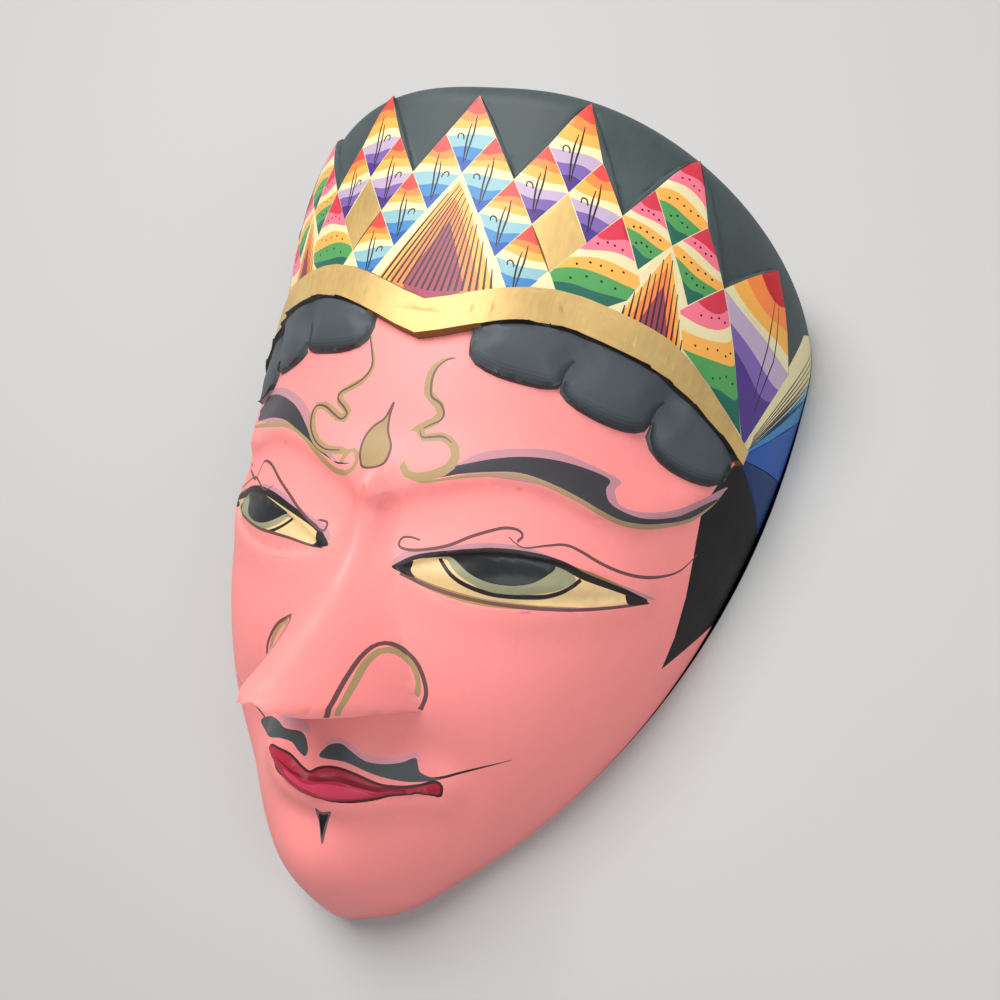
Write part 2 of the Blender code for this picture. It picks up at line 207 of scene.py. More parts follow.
def hair_outline(side):
    """Three scalloped locks that hang under the headband on one side."""
    turns = np.linspace(0, math.pi, 10)[:-1]
    across = np.linspace(HAIR_LOBES[-1][1], HAIR_LOBES[0][0], 12)
    upper = np.stack([across, band_bottom(across)], -1)
    across, along = np.concatenate([lobe_places(lobe, turns) for lobe in HAIR_LOBES] + [upper]).T
    return flat_from_shares(side * across, along)


# The crown's pattern is a lattice of lozenges: columns are turns round the crown, rows are steps down it
COLUMN_TURN = math.radians(4.85)
ROW_STEP = 0.089
FIRST_ROW = 0.812


def lattice(column, row):
    """A corner of the lozenge lattice, as shares; odd columns go with odd rows."""
    steps = abs(column) + 0.25 * max(abs(column) - 8, 0)
    along = FIRST_ROW - ROW_STEP * row - 0.045 * (column / 10) ** 2
    if row == 0 and column:
        steps += 0.45 + 0.16 * (abs(column) - 4)
        along += 0.028 + 0.005 * (abs(column) - 4)
    return math.copysign(math.sin(COLUMN_TURN * steps), column), along


SIDE_POINT = [(0.898, 0.731), (0.964, 0.540), (0.932, 0.305)]


def crown_outline():
    """Edge of the pointed pattern that rises above the headband."""
    right = [lattice(column, column % 4) for column in range(0, 11, 2)] + SIDE_POINT
    left = [(-a, s) for a, s in right[:0:-1]]
    edge = flat_line(left + right, 4)
    across = np.linspace(SIDE_POINT[-1][0], -SIDE_POINT[-1][0], 33)
    return np.concatenate([edge, flat_from_shares(across, band_top(across))])


EYE_INNER = (0.147, -0.250)
EYE_OUTER = (0.850, -0.125)


def eye_lid(side, rise, steps=15):
    """One lid line from the inner corner to the outer one, arched by `rise`."""
    turn = np.linspace(0, 1, steps)
    across = EYE_INNER[0] + (EYE_OUTER[0] - EYE_INNER[0]) * turn
    along = EYE_INNER[1] + (EYE_OUTER[1] - EYE_INNER[1]) * turn + rise * np.sin(math.pi * turn) ** 0.8
    return flat_from_shares(side * across, along)


def eye_outline(side):
    return np.concatenate([eye_lid(side, 0.042), eye_lid(side, -0.076)[-2:0:-1]])


UPPER_LIP = [
    (-0.39, -0.667), (-0.14, -0.667), (-0.066, -0.680), (0.0, -0.691), (0.052, -0.679), (0.16, -0.670),
    (0.32, -0.680), (0.45, -0.670), (0.60, -0.651), (0.645, -0.650)
]
LOWER_LIP = [
    (0.645, -0.669), (0.49, -0.689), (0.355, -0.707), (0.178, -0.735), (0.06, -0.744), (-0.05, -0.740),
    (-0.16, -0.728), (-0.26, -0.704)
]


def lips_outline():
    return flat_line(UPPER_LIP + LOWER_LIP + UPPER_LIP[:1], 3)[:-1]


def offset_outline(outline, distance):
    """The outline moved outwards, away from its middle side."""
    ahead = np.roll(outline, -1, 0) - outline
    behind = outline - np.roll(outline, 1, 0)
    run = ahead / np.linalg.norm(ahead, axis=1, keepdims=True)
    run = run + behind / np.linalg.norm(behind, axis=1, keepdims=True)
    out = np.stack([run[:, 1], -run[:, 0]], -1)
    out /= np.maximum(np.linalg.norm(out, axis=1, keepdims=True), 0.3)
    x, y = outline.T
    area = (x * np.roll(y, -1) - y * np.roll(x, -1)).sum()
    return outline + math.copysign(distance, area) * out


def inside(points, outline):
    """Which points lie inside a closed outline."""
    result = np.zeros(len(points), bool)
    for a, b in zip(outline, np.roll(outline, -1, 0)):
        crosses = (a[1] > points[:, 1]) != (b[1] > points[:, 1])
        if crosses.any():
            at = (b[0] - a[0]) * (points[:, 1] - a[1]) / (b[1] - a[1] + 1e-15) + a[0]
            result ^= crosses & (points[:, 0] < at)
    return result


def distance_to(points, outline, closed=True):
    best = np.full(len(points), 1e9)
    ends = np.roll(outline, -1, 0) if closed else outline[1:]
    for a, b in zip(outline, ends):
        run = b - a
        share = np.clip(((points - a) @ run) / max(run @ run, 1e-18), 0, 1)
        best = np.minimum(best, np.linalg.norm(points - a - share[:, None] * run, axis=1))
    return best


def raised(points, outline, rise, run=EDGE_RUN):
    """Height of a raised part: full inside its outline, falling to nothing over `run` outside it."""
    gap = np.where(inside(points, outline), 0, distance_to(points, outline))
    return rise * np.clip(1 - gap / run, 0, 1)


def smooth(value):
    value = np.clip(value, 0, 1)
    return value * value * (3 - 2 * value)


# Carving of the face

NOSE_ROOT = 0.03
NOSE_BRIDGE = -0.15
NOSE_BASE = -0.5126
NOSE_UNDERSIDE = 0.007      # how far the underside reaches back along the shell, as a share
NOSE_BASE_SAG = 0.0198      # how far the base line sags between the tip and a wing
NOSE_DROOP = 0.395          # how far the tip leans down for each unit that it stands out
NOSE_SWEEP = 2.62           # how much of the rise comes near the tip: a higher power is later


def nose_base(reach):
    """Where the nose ends, from its middle (reach 0) out to a wing (reach 1)."""
    return NOSE_BASE - NOSE_BASE_SAG * np.sin(math.pi * np.clip(reach, 0, 1) ** 0.8)


def nose_half_width(along):
    down = np.clip((NOSE_BRIDGE - along) / (NOSE_BRIDGE - NOSE_BASE), 0, 1)
    return 0.3 * NOSE_HALF_WIDTH + 0.7 * NOSE_HALF_WIDTH * down ** 1.2


def nose_height(across, along):
    """Height of the wedge nose, measured along its own leaning direction."""
    down = np.clip((NOSE_BRIDGE - along) / (NOSE_BRIDGE - NOSE_BASE), 0, 1)
    ridge = NOSE_ROOT_RISE + (NOSE_RISE - NOSE_ROOT_RISE) * down ** NOSE_SWEEP
    ridge = ridge * smooth((NOSE_ROOT - along) / 0.20)
    reach = np.abs(across * half_width(along)) / nose_half_width(along)
    blunt = 0.50 - 0.28 * down
    fall = (np.sqrt(reach ** 2 + blunt ** 2) - blunt) / (np.sqrt(1 + blunt ** 2) - blunt)
    side = np.clip(1 - fall, 0, 1) ** (1.35 - 0.35 * down ** 2)
    under = np.clip((along - nose_base(reach) + NOSE_UNDERSIDE) / NOSE_UNDERSIDE, 0, 1)
    return ridge * side * under


BROW_LINE = [
    (0.04, -0.105), (0.13, -0.068), (0.21, -0.048), (0.31, -0.016), (0.42, 0.008), (0.53, 0.013),
    (0.64, 0.006), (0.75, 0.018), (0.85, 0.085), (0.89, 0.16)
]


def brow_line(side):
    """Lower edge of a brow, where the ridge above it drops into the eye socket."""
    return flat_line([(side * a, s) for a, s in BROW_LINE], 3)


def brow_height(points, side):
    line = brow_line(side)
    gap = distance_to(points, line, closed=False)
    order = np.argsort(line[:, 0])
    upward = points[:, 1] - np.interp(points[:, 0], line[order, 0], line[order, 1])
    width = 0.0026 + 0.0049 * smooth(0.5 + 0.5 * upward / np.maximum(gap, 1e-6))
    return BROW_RISE * np.exp(-(gap / width) ** 2)


def dent(points, across, along, radius):
    """A soft round hollow, 1 deep at a place given as shares."""
    place = flat_from_shares(np.array([across]), np.array([along]))
    return np.exp(-(np.linalg.norm(points - place, axis=1) / radius) ** 2)


def face_height(points):
    """Height of the brows, lids and lips above the shell."""
    height = np.zeros(len(points))
    for side in (-1, 1):
        height += brow_height(points, side)
        height -= SOCKET_DEPTH * dent(points, side * 0.17, -0.20, 0.013)
        height -= CHEEK_HOLLOW * dent(points, side * 0.56, -0.63, 0.013)
        height -= TEMPLE_HOLLOW * dent(points, side * 0.80, 0.25, 0.036)
        height += JAW_FULLNESS * dent(points, side * 0.58, -0.88, 0.021)
        eye = eye_outline(side)
        gap = distance_to(points, eye)
        ball = 1 - 0.75 * np.clip(gap / LID_EDGE, 0, 1) + 1.1 * smooth(gap / 0.006)
        height += LID_RISE * np.where(inside(points, eye), ball, np.exp(-(gap / 0.005) ** 2))
    height -= CHIN_HOLLOW * dent(points, 0.0, -0.79, 0.009)
    lips = lips_outline()
    gap = distance_to(points, lips)
    full = 0.65 + 0.35 * smooth(gap / 0.0024)
    height += LIP_RISE * np.where(inside(points, lips), full, 0.65 * np.exp(-(gap / 0.0055) ** 2))
    return height


def carved(flat):
    """Points of the carved front for places on the flat shell."""
    across, along = shares_from_flat(flat)
    height = face_height(flat)
    raised_parts = [raised(flat, band_outline(), BAND_RISE), raised(flat, crown_outline(), PATTERN_RISE)]
    raised_parts += [raised(flat, hair_outline(side), HAIR_RISE) for side in (-1, 1)]
    height = height + np.max(raised_parts, axis=0)
    nose = nose_height(across, along)
    points = shell(across, along) + shell_normal(across, along) * height[:, None]
    points[:, 1] -= NOSE_DROOP * nose
    points[:, 2] += nose
    points[:, 2] = np.maximum(points[:, 2], 0)
    points[np.abs(across) > 1 - 1e-9, 2] = 0
    return points


def guide_lines():
    """Every outline that faces of the solid follow, with the foot of each slope."""
    lines = []
    for outline in [band_outline(), crown_outline(), hair_outline(-1), hair_outline(1)]:
        lines.append((outline, True))
        lines.append((offset_outline(outline, EDGE_RUN), True))
    for side in (-1, 1):
        lines.append((eye_outline(side), True))
        lines.append((offset_outline(eye_outline(side), -LID_EDGE), True))
        lines.append((brow_line(side), False))
        lines.append((brow_line(side) - (0, 0.0024), False))
    lines.append((lips_outline(), True))
    for reach in (-1, -0.4, 0, 0.4, 1):
        along = np.linspace(nose_base(abs(reach)), NOSE_ROOT, 24)
        across = reach * nose_half_width(along) / half_width(along)
        lines.append((flat_from_shares(across, along), False))
    reach = np.linspace(-1, 1, 17)
    for back in (0, NOSE_UNDERSIDE):
        along = nose_base(np.abs(reach)) - back
        lines.append((flat_from_shares(reach * NOSE_HALF_WIDTH / half_width(along), along), False))
    return lines


# Flat plan of the skin

def rim_outline(step):
    """The rim as an outline of the flat shell, from the chin up the right side and down the left one."""
    turns = np.linspace(-math.pi / 2, math.pi / 2, int(math.pi * HALF / step) + 1)
    widths = half_width(np.sin(turns)) * math.pi / 2
    widths[0] = widths[-1] = 0
    right = np.stack([widths, HALF * turns], -1)
    return np.concatenate([right, right[-2:0:-1] * (-1, 1)])


def clear_of(grid, drawn, gap):
    """The places of a grid that keep a gap from every drawn point."""
    tree = KDTree(len(drawn))
    for index, (x, y) in enumerate(drawn):
        tree.insert((x, y, 0), index)
    tree.balance()
    return [place for place in grid if tree.find((place[0], place[1], 0))[2] > gap]


def skin_plan(step, rim_step, lines):
    """Points and triangles of the flat skin, which follow the rim and every line given."""
    rim = rim_outline(rim_step)
    points = list(rim)
    edges = [(i, (i + 1) % len(rim)) for i in range(len(rim))]
    for line, closed in lines:
        first = len(points)
        points += list(line)
        edges += [(first + i, first + i + 1) for i in range(len(line) - 1)]
        if closed:
            edges.append((len(points) - 1, first))
    reach = np.abs(rim).max(0)
    row = np.arange(-reach[0], reach[0], step)
    grid = np.stack(np.meshgrid(row, np.arange(-reach[1], reach[1], step * 0.87)), -1)
    grid[1::2, :, 0] += step / 2
    grid = grid.reshape(-1, 2)
    grid = grid[inside(grid, rim)]
    points += clear_of(grid, points, 0.6 * step)
    vectors = [Vector((float(x), float(y))) for x, y in points]
    verts, _, faces, *_ = delaunay_2d_cdt(vectors, edges, [list(range(len(rim)))], 1, 1e-7)
    return np.array([tuple(v) for v in verts]), faces


# Relief that only the fine mesh has

LOBE_SWELL = 0.0016         # how far a lock swells above its edge
LOBE_ROUND = 0.0075         # how far in from its edge a lock is rounded
NOSE_CREST = 0.0008
NOSE_CREST_WIDTH = 0.0026
TIP_FALL = 0.0020           # how far the very tip of the nose is rounded back
TIP_REACH = 0.0050


def lobe_edge(number):
    """Lower edge of one hanging lock, with the start of the groove that parts it from the next one."""
    edge = lobe_places(HAIR_LOBES[number], np.linspace(0, math.pi, 14))
    if number == len(HAIR_LOBES) - 1:
        return edge
    _, end, _, end_level, _ = HAIR_LOBES[number]
    return np.concatenate([edge, [(end + 0.006, end_level + 0.028), (end + 0.022, end_level + 0.052)]])


def fine_height(flat):
    """Swelling of the locks and the crest of the nose, above the carving that the solid has."""
    across, along = shares_from_flat(flat)
    down = smooth((0.02 - along) / 0.12) * smooth((along - NOSE_BASE) / 0.06)
    height = NOSE_CREST * down * np.exp(-(across * half_width(along) / NOSE_CREST_WIDTH) ** 2)
    for side in (-1, 1):
        covered = np.flatnonzero(inside(flat, hair_outline(side)))
        gap = np.full(len(covered), 1.0)
        for number in range(len(HAIR_LOBES)):
            edge = flat_from_shares(*(lobe_edge(number) * (side, 1)).T)
            gap = np.minimum(gap, distance_to(flat[covered], edge, closed=False))
        height[covered] = LOBE_SWELL * (smooth(gap / LOBE_ROUND) - 0.35)
    return height


def tip_rounding(flat):
    """How far each point moves where the tip of the nose is rounded off."""
    tip = flat_from_shares(np.zeros(1), np.array([NOSE_BASE]))
    fall = TIP_FALL * np.exp(-(np.linalg.norm(flat - tip, axis=1) / TIP_REACH) ** 2)
    fall *= nose_height(*shares_from_flat(flat)) / NOSE_RISE
    return fall[:, None] * (0, NOSE_DROOP, -1)


# Lines of the paint

def spline(points, steps=4, closed=False):
    """A smooth line through points."""
    points = np.array(points, float)
    if closed:
        ring = np.concatenate([points[-1:], points, points[:2]])
    else:
        ring = np.concatenate([2 * points[:1] - points[1:2], points, 2 * points[-1:] - points[-2:-1]])
    line = []
    for a, b, c, d in zip(ring[:-3], ring[1:-2], ring[2:-1], ring[3:]):
        for t in np.arange(steps) / steps:
            line.append(0.5 * (2 * b + (c - a) * t + (2 * a - 5 * b + 4 * c - d) * t ** 2
                               + (3 * b - 3 * c + d - a) * t ** 3))
    if not closed:
        line.append(points[-1])
    return np.array(line)


def evenly(line, spacing, least=2):
    """The same line with points at even distances."""
    lengths = np.concatenate([[0], np.cumsum(np.linalg.norm(np.diff(line, axis=0), axis=1))])
    count = max(least, int(lengths[-1] / spacing) + 2)
    at = np.linspace(0, lengths[-1], count)
    return np.stack([np.interp(at, lengths, line[:, i]) for i in (0, 1)], -1)


coarse_plan, coarse_faces = skin_plan(COARSE_STEP, COARSE_STEP, guide_lines())
coarse_skin = [Vector(point) for point in carved(coarse_plan)]
coarse_tree = BVHTree.FromPolygons(coarse_skin, coarse_faces)


def from_photo(pixels):
    """Where the camera sees these pixels of the photograph on the skin, as places on the flat shell."""
    places = []
    for x, y in pixels:
        hit = None
        while hit is None:
            ray = (CAMERA_RIGHT * (x - FRAME_PIXELS / 2) - CAMERA_UP * (y - FRAME_PIXELS / 2)
                   - CAMERA_BACK * FOCAL_PIXELS)
            hit, _, index, _ = coarse_tree.ray_cast(Vector(CAMERA_PLACE), Vector(ray))
            x += 0.01 * (FRAME_PIXELS / 2 - x)
            y += 0.01 * (FRAME_PIXELS / 2 - y)
        corners = [coarse_skin[i] for i in coarse_faces[index]]
        flat = [Vector((*coarse_plan[i], 0)) for i in coarse_faces[index]]
        places.append(barycentric_transform(hit, *corners, *flat)[:2])
    return np.array(places)


class Paint:
    """Areas of colour in the order in which they are painted."""

    def __init__(self):
        self.areas = []

    def fill(self, colour, outline):
        self.areas.append((colour, np.array(outline), None, None))

    def stroke(self, colour, line, width, shape=(0.35, 1, 1, 0.35)):
        """A brush stroke; `shape` is its width from start to end, as shares of `width`."""
        line = evenly(np.array(line), max(width, 0.0006))
        widths = width / 2 * np.interp(np.linspace(0, 1, len(line)), np.linspace(0, 1, len(shape)), shape)
        run = np.gradient(line, axis=0)
        run /= np.maximum(np.linalg.norm(run, axis=1, keepdims=True), 1e-9)
        out = np.stack([-run[:, 1], run[:, 0]], -1) * widths[:, None]
        self.areas.append((colour, np.concatenate([line + out, (line - out)[::-1]]), line, widths))

    def dot(self, colour, place, radius):
        turns = np.arange(7) * math.tau / 7
        self.fill(colour, place + radius * np.stack([np.cos(turns), np.sin(turns)], -1))

    def lines(self):
        return [(area[1], True) for area in self.areas]

    def colours(self, points, names):
        """Number of the colour on top at each point; 0 where nothing is painted."""
        result = np.zeros(len(points), int)
        for colour, outline, line, widths in self.areas:
            low, high = outline.min(0) - 1e-6, outline.max(0) + 1e-6
            near = np.flatnonzero(((points > low) & (points < high)).all(1))
            if not len(near):
                continue
            if line is None:
                covered = inside(points[near], outline)
            else:
                covered = under_stroke(points[near], line, widths)
            result[near[covered]] = names.index(colour)
        return result


def under_stroke(points, line, widths):
    covered = np.zeros(len(points), bool)
    for a, b, width_a, width_b in zip(line[:-1], line[1:], widths[:-1], widths[1:]):
        run = b - a
        share = np.clip(((points - a) @ run) / max(run @ run, 1e-18), 0, 1)
        gap = np.linalg.norm(points - a - share[:, None] * run, axis=1)
        covered |= gap < width_a + (width_b - width_a) * share
    return covered


paint = Paint()


def shares(*places):
    return flat_from_shares(*np.array(places, float).T)


# Crown: charcoal, with lozenges in bands of colour

BLUE_BANDS = [
    ("coral", 0), ("orange", 0.21), ("amber", 0.30), ("cream", 0.40), ("pale_teal", 0.50),
    ("mid_blue", 0.66), ("deep_blue", 0.80)
]
PURPLE_BANDS = [
    ("coral", 0), ("orange", 0.18), ("amber", 0.29), ("cream", 0.42), ("pale_lilac", 0.52), ("violet", 0.66),
    ("deep_violet", 0.80)
]
GREEN_BANDS = [
    ("crimson", 0), ("pink", 0.22), ("cream", 0.36), ("amber", 0.46), ("green", 0.60), ("deep_green", 0.78)
]
SIDE_BANDS = [
    ("red", 0), ("orange", 0.20), ("amber", 0.32), ("cream", 0.42), ("pale_lilac", 0.48), ("violet", 0.60),
    ("deep_violet", 0.70)
]
DOTTED = {"pink": 4, "amber": 5, "green": 4}
BORDER_SHARE = 0.006        # how much of a lozenge its pale border takes
STROKE_WIDTH = 0.00045
DOT_RADIUS = 0.00033
POINT_STROKE = 0.00062

# Nested colours of a tall point, each with its share of the width and of the height
POINT_LAYERS = [("cream", 1, 1), ("amber", 0.93, 0.93), ("orange", 0.72, 0.76), ("plum", 0.46, 0.54)]

# Painted shade along the lower edge of a lock and into the groove beside the next one: strokes darker nearer
# the edge, each with its colour, how far in it lies and its width
HAIR_PAINTED_SHADES = [("hair_painted_shade_faint", 0.0012, 0.0034), ("hair_painted_shade_deep", 0.0009, 0.0022), ("hair_painted_shade_darkest", 0.0006, 0.0011)]


def in_lozenge(corners, down, over):
    """A place in a lozenge: `down` from its top (0) to its foot (1), `over` from its left to its right."""
    top, left, bottom, right = corners
    down = np.clip(down, 0, 1)
    reach = np.minimum(down, 1 - down)
    u = (down - over * reach)[..., None]
    v = (down + over * reach)[..., None]
    return top * (1 - u) * (1 - v) + left * u * (1 - v) + right * v * (1 - u) + bottom * u * v


def lozenge_corners(column, row, side):
    places = [lattice(column, row), lattice(column - 1, row + 1), lattice(column, row + 2),
              lattice(column + 1, row + 1)]
    return shares(*places) * (side, 1)


def paint_lozenge(corners, bands, phase, strokes=False):
    middle = corners.mean(0)
    corners = middle + (corners - middle) * (1 - 2 * BORDER_SHARE)
    over = np.linspace(-1, 1, 9)
    for index, (colour, start) in enumerate(bands):
        if start == 0:
            paint.fill(colour, corners)
            continue
        wave = 0.018 * np.sin(2.6 * over + phase + index) + 0.02 * np.cos(1.5 * over)
        edge = in_lozenge(corners, start + wave, over)
        closing = [corners[3], corners[2], corners[1]] if start < 0.5 else [corners[2]]
        paint.fill(colour, np.concatenate([edge, closing]))
    if "crimson" in dict(bands):
        starts = [start for _, start in bands] + [1]
        for (colour, start), end in zip(bands, starts[1:]):
            for step in range(DOTTED.get(colour, 0)):
                over = -0.72 + 1.44 * (step + 0.5) / DOTTED[colour]
                down = np.array(start + (end - start) * (0.55 + 0.12 * math.sin(2.1 * step + phase)))
                paint.dot("ink", in_lozenge(corners, down, np.array(over)), DOT_RADIUS)
    if strokes:
        for offset, start, end in ((0.16, 0.26, 0.84), (-0.08, 0.36, 0.88)):
            down = np.linspace(start, end, 6)
            lean = offset - 0.25 * (down - start) + 0.04 * math.sin(phase)
            paint.stroke("ink", in_lozenge(corners, down, lean), STROKE_WIDTH, (0.5, 1, 1, 0.5))
        turn = np.linspace(-0.3, 3.6, 7)
        hook = in_lozenge(corners, 0.55 - 0.055 * np.sin(turn), -0.42 - 0.14 * np.cos(turn))
        paint.stroke("ink", hook, STROKE_WIDTH, (0.6, 1, 0.7))


def paint_point(apex, left, right, strokes, lean, turn):
    """A tall triangle of nested colours, hatched with dark strokes.

    `lean` 0 is along its left edge and 1 along its right edge; `turn` is how much it grows over the base."""
    foot = (left + right) / 2
    drop = 0.3 * (foot - apex)
    for colour, wide, tall in POINT_LAYERS:
        top = foot + (apex - foot) * tall
        start, end = foot + (left - foot) * wide, foot + (right - foot) * wide
        paint.fill(colour, [top, start, start + drop, end + drop, end])
    for step, base in enumerate(np.linspace(0.05, 0.95, strokes)):
        slant = max(lean + turn * base, 0.02)
        reach = min(base / slant, (1 - base) / (1 - slant)) * (0.94 if step % 2 else 0.82)
        start = left + (right - left) * (base - slant * reach) + (apex - left) * reach
        end = left + (right - left) * base + drop * (0.10 + 0.5 * min(base, 1 - base))
        paint.stroke("umber_ink", [start, (start + end) / 2, end], POINT_STROKE, (0.4, 0.8, 1.1))


FAN_APEX = (0.938, 0.286)
FAN_TIP = [(0.982, 0.685), (0.994, 0.722)]
FAN_RIM = [
    ("cream", 0.735), ("pale_teal", 0.625), ("mid_blue", 0.590), ("deep_blue", 0.510), ("night_blue", 0.330)
]
FAN_END = 0.170
SIDE_LOCK = [
    (0.920, 0.218), (0.904, 0.154), (0.922, 0.050), (0.948, -0.070), (0.965, -0.159), (0.975, -0.233),
    (0.990, -0.170)
]


CROWN_RIM_START = 0.635
SIDE_LOCK_RIM_START = -0.09
FAN_STROKE = 0.0005
GOLD_EDGE_STROKE = 0.0005
BAND_EDGE_STROKE = 0.0008


def rim_stretch(low, high):
    """The points of the rim's right half between two heights, given as shares."""
    rim = rim_outline(RIM_STEP)
    right = rim[:len(rim) // 2 + 1]
    first, last = np.searchsorted(right[:, 1], HALF * np.arcsin((low, high)))
    return right[first:last + 1]


def paint_crown():
    band = np.linspace(-BAND_END, BAND_END, 41)
    front = shares((-FAN_APEX[0], FAN_APEX[1]), *zip(band, band_top(band)), FAN_APEX)
    right = rim_stretch(CROWN_RIM_START, 1)
    paint.fill("charcoal", np.concatenate([front, right, right[-2::-1] * (-1, 1)]))
    zigzag = [lattice(column, 2 - abs(column % 4 - 2)) for column in range(11)] + [SIDE_POINT[1]]
    under_band = [(a, band_top(a) - 0.02) for a in np.linspace(BAND_END, -BAND_END, 41)]
    paint.fill("cream", shares(*[(-a, s) for a, s in zigzag[:0:-1]], *zigzag, *under_band))
    for side in (1, -1):
        top = shares(lattice(10, 2))[0]
        side_left, side_top, side_right, side_bottom = shares(lattice(10, 2), *SIDE_POINT)
        narrow = np.array([top, top + 1.75 * (shares(lattice(9, 3))[0] - top),
                           top + 0.93 * (side_bottom - top), top + 0.33 * (side_bottom - top)])
        wide = shares(lattice(6, 2), lattice(4, 4), lattice(5, 5), lattice(7, 3))
        wide[3] += 0.45 * (wide[3] - wide[0])
        wide_bands = [(colour, 0.78 * start) for colour, start in GREEN_BANDS]
        mirror = np.array([side, 1])
        paint_lozenge(narrow * mirror, GREEN_BANDS, 1.0)
        paint_lozenge(wide * mirror, wide_bands, 2.0)
        for column, row in ((8, 0), (7, 1), (9, 1)):
            paint_lozenge(lozenge_corners(column, row, side), GREEN_BANDS, column + side)
        for column, row in ((4, 0), (3, 1), (5, 1)):
            paint_lozenge(lozenge_corners(column, row, side), PURPLE_BANDS, column + side, True)
        for column, row in ((1, 1), (2, 2), (3, 3)):
            paint_lozenge(lozenge_corners(column, row, side), BLUE_BANDS, column + side, True)
        gold = lozenge_corners(4, 2, side)
        middle = gold.mean(0)
        paint.fill("gold", middle + (gold - middle) * (1 - 2 * BORDER_SHARE))
        paint.stroke("umber", [gold[1], gold[2]], GOLD_EDGE_STROKE)
        outer = np.array([side_top, side_left, side_bottom, side_right]) * mirror
        paint_lozenge(outer, SIDE_BANDS, 0.5)
        for end in (0.22, 0.10):
            down = np.linspace(0.22, 0.86 - end / 3, 7)
            paint.stroke("ink", in_lozenge(outer, down, np.full(7, 0.62 - 2.2 * end)), STROKE_WIDTH)
        paint_point(*(shares(lattice(8, 2), (0.540, 0.424), (0.735, 0.404)) * mirror), 12, 0.40, 0.30)
    paint_lozenge(lozenge_corners(0, 0, 1), BLUE_BANDS, 0.0, True)
    paint_point(*shares(lattice(0, 2), (-0.205, 0.384), (0.205, 0.384)), 18, -0.04, 0.78)


# Beside the ear: a pale wedge with fanned strokes that turns blue, and a dark side lock under it

def paint_side(side):
    mirror = np.array([side, 1])
    ends = [along for _, along in FAN_RIM[1:]] + [FAN_END]
    for (colour, start), end in zip(FAN_RIM, ends):
        tip = FAN_TIP if colour == "cream" else []
        area = np.concatenate([shares(FAN_APEX, *tip), rim_stretch(end, start)[::-1]])
        paint.fill(colour, area * mirror)
    for along in np.linspace(FAN_RIM[0][1] - 0.03, FAN_RIM[2][1] - 0.03, 7):
        apex, end = shares(FAN_APEX, (0.9995, along)) * mirror
        start = apex + (end - apex) * (0.12 + 0.1 * (along - 0.5))
        paint.stroke("ink", [start, (start + end) / 2, end], FAN_STROKE, (0.4, 1, 0.8))
    lock = np.concatenate([shares(FAN_APEX, *SIDE_LOCK), rim_stretch(SIDE_LOCK_RIM_START, FAN_END)])
    paint.fill("lock_black", lock * mirror)


def paint_headband():
    for side in (-1, 1):
        # Painted highlight: the slope round the locks is a lighter slate than their tops
        paint.fill("hair_rim_painted_highlight", offset_outline(hair_outline(side), EDGE_RUN))
        paint.fill("hair", hair_outline(side))
        # Painted shade: darker strokes just inside the lower edge of each lock and up its groove
        for colour, inset, width in HAIR_PAINTED_SHADES:
            for number in range(len(HAIR_LOBES)):
                edge = shares(*(lobe_edge(number) * (side, 1)))
                middle = shares((side * lobe_edge(number)[:, 0].mean(), lobe_edge(number)[:, 1].max()))
                toward = middle - edge
                toward /= np.linalg.norm(toward, axis=1, keepdims=True)
                paint.stroke(colour, edge + inset * toward, width, (0.2, 0.9, 1, 1, 0.9, 0.3))
    # Painted shade: the slopes at the headband's edges are a darker gold than its top
    paint.fill("gold_painted_shade", offset_outline(band_outline(), EDGE_RUN))
    paint.fill("gold", band_outline())
    for side in (-1, 1):
        across = np.linspace(HAIR_LOBES[0][0] + 0.02, BAND_END - 0.01, 40)
        edge = flat_from_shares(side * across, band_bottom(across)) - (0, 0.8 * EDGE_RUN)
        paint.stroke("ink", edge, BAND_EDGE_STROKE, (0.6, 1, 0.8, 1, 0.7, 1))


# Face: strokes read off the photograph, as its pixels

RIGHT_BROW = [
    (440, 470), (470, 463), (500, 458), (530, 457), (560, 461), (590, 470), (610, 480), (606, 490),
    (612, 505), (640, 518), (670, 518), (690, 512), (715, 500), (715, 503), (690, 519), (660, 524),
    (640, 524), (620, 520), (600, 510), (580, 498), (550, 483), (520, 473), (490, 472), (460, 474),
    (430, 479)
]
RIGHT_BROW_HALO = [
    (436, 472), (455, 465), (480, 453), (510, 449), (550, 450), (580, 460), (620, 480), (615, 490),
    (620, 505), (640, 512), (665, 512), (690, 505), (725, 488), (722, 494), (690, 521), (640, 526),
    (600, 514), (550, 488), (490, 477)
]
RIGHT_BROW_LINE = [
    (404, 474), (420, 482), (440, 480), (462, 477), (490, 475), (520, 476), (550, 486), (580, 501),
    (600, 513), (620, 523), (640, 527), (660, 527), (690, 521), (712, 506), (724, 492)
]
LEFT_BROW = [
    (250, 425), (254, 420), (262, 408), (270, 396), (280, 395), (292, 402), (300, 412), (306, 425),
    (312, 438), (320, 448), (330, 458), (338, 464), (350, 463), (334, 461), (318, 450), (310, 441),
    (298, 430), (285, 420), (270, 418)
]
LEFT_BROW_HALO = [
    (262, 402), (272, 390), (285, 388), (300, 397), (310, 412), (316, 432), (330, 452), (338, 463),
    (312, 444), (285, 424), (262, 422)
]
LEFT_BROW_LINE = [
    (252, 427), (270, 425), (290, 426), (305, 437), (315, 450), (325, 461), (335, 470), (345, 473),
    (353, 468), (357, 458), (355, 450), (348, 452), (342, 460)
]
LEFT_SCROLL = [
    (370, 336), (372, 352), (372, 366), (364, 378), (352, 386), (341, 392), (338, 399), (344, 407),
    (347, 414), (341, 419), (333, 413), (325, 406), (316, 406), (312, 415), (311, 427), (315, 440),
    (325, 449), (340, 450)
]
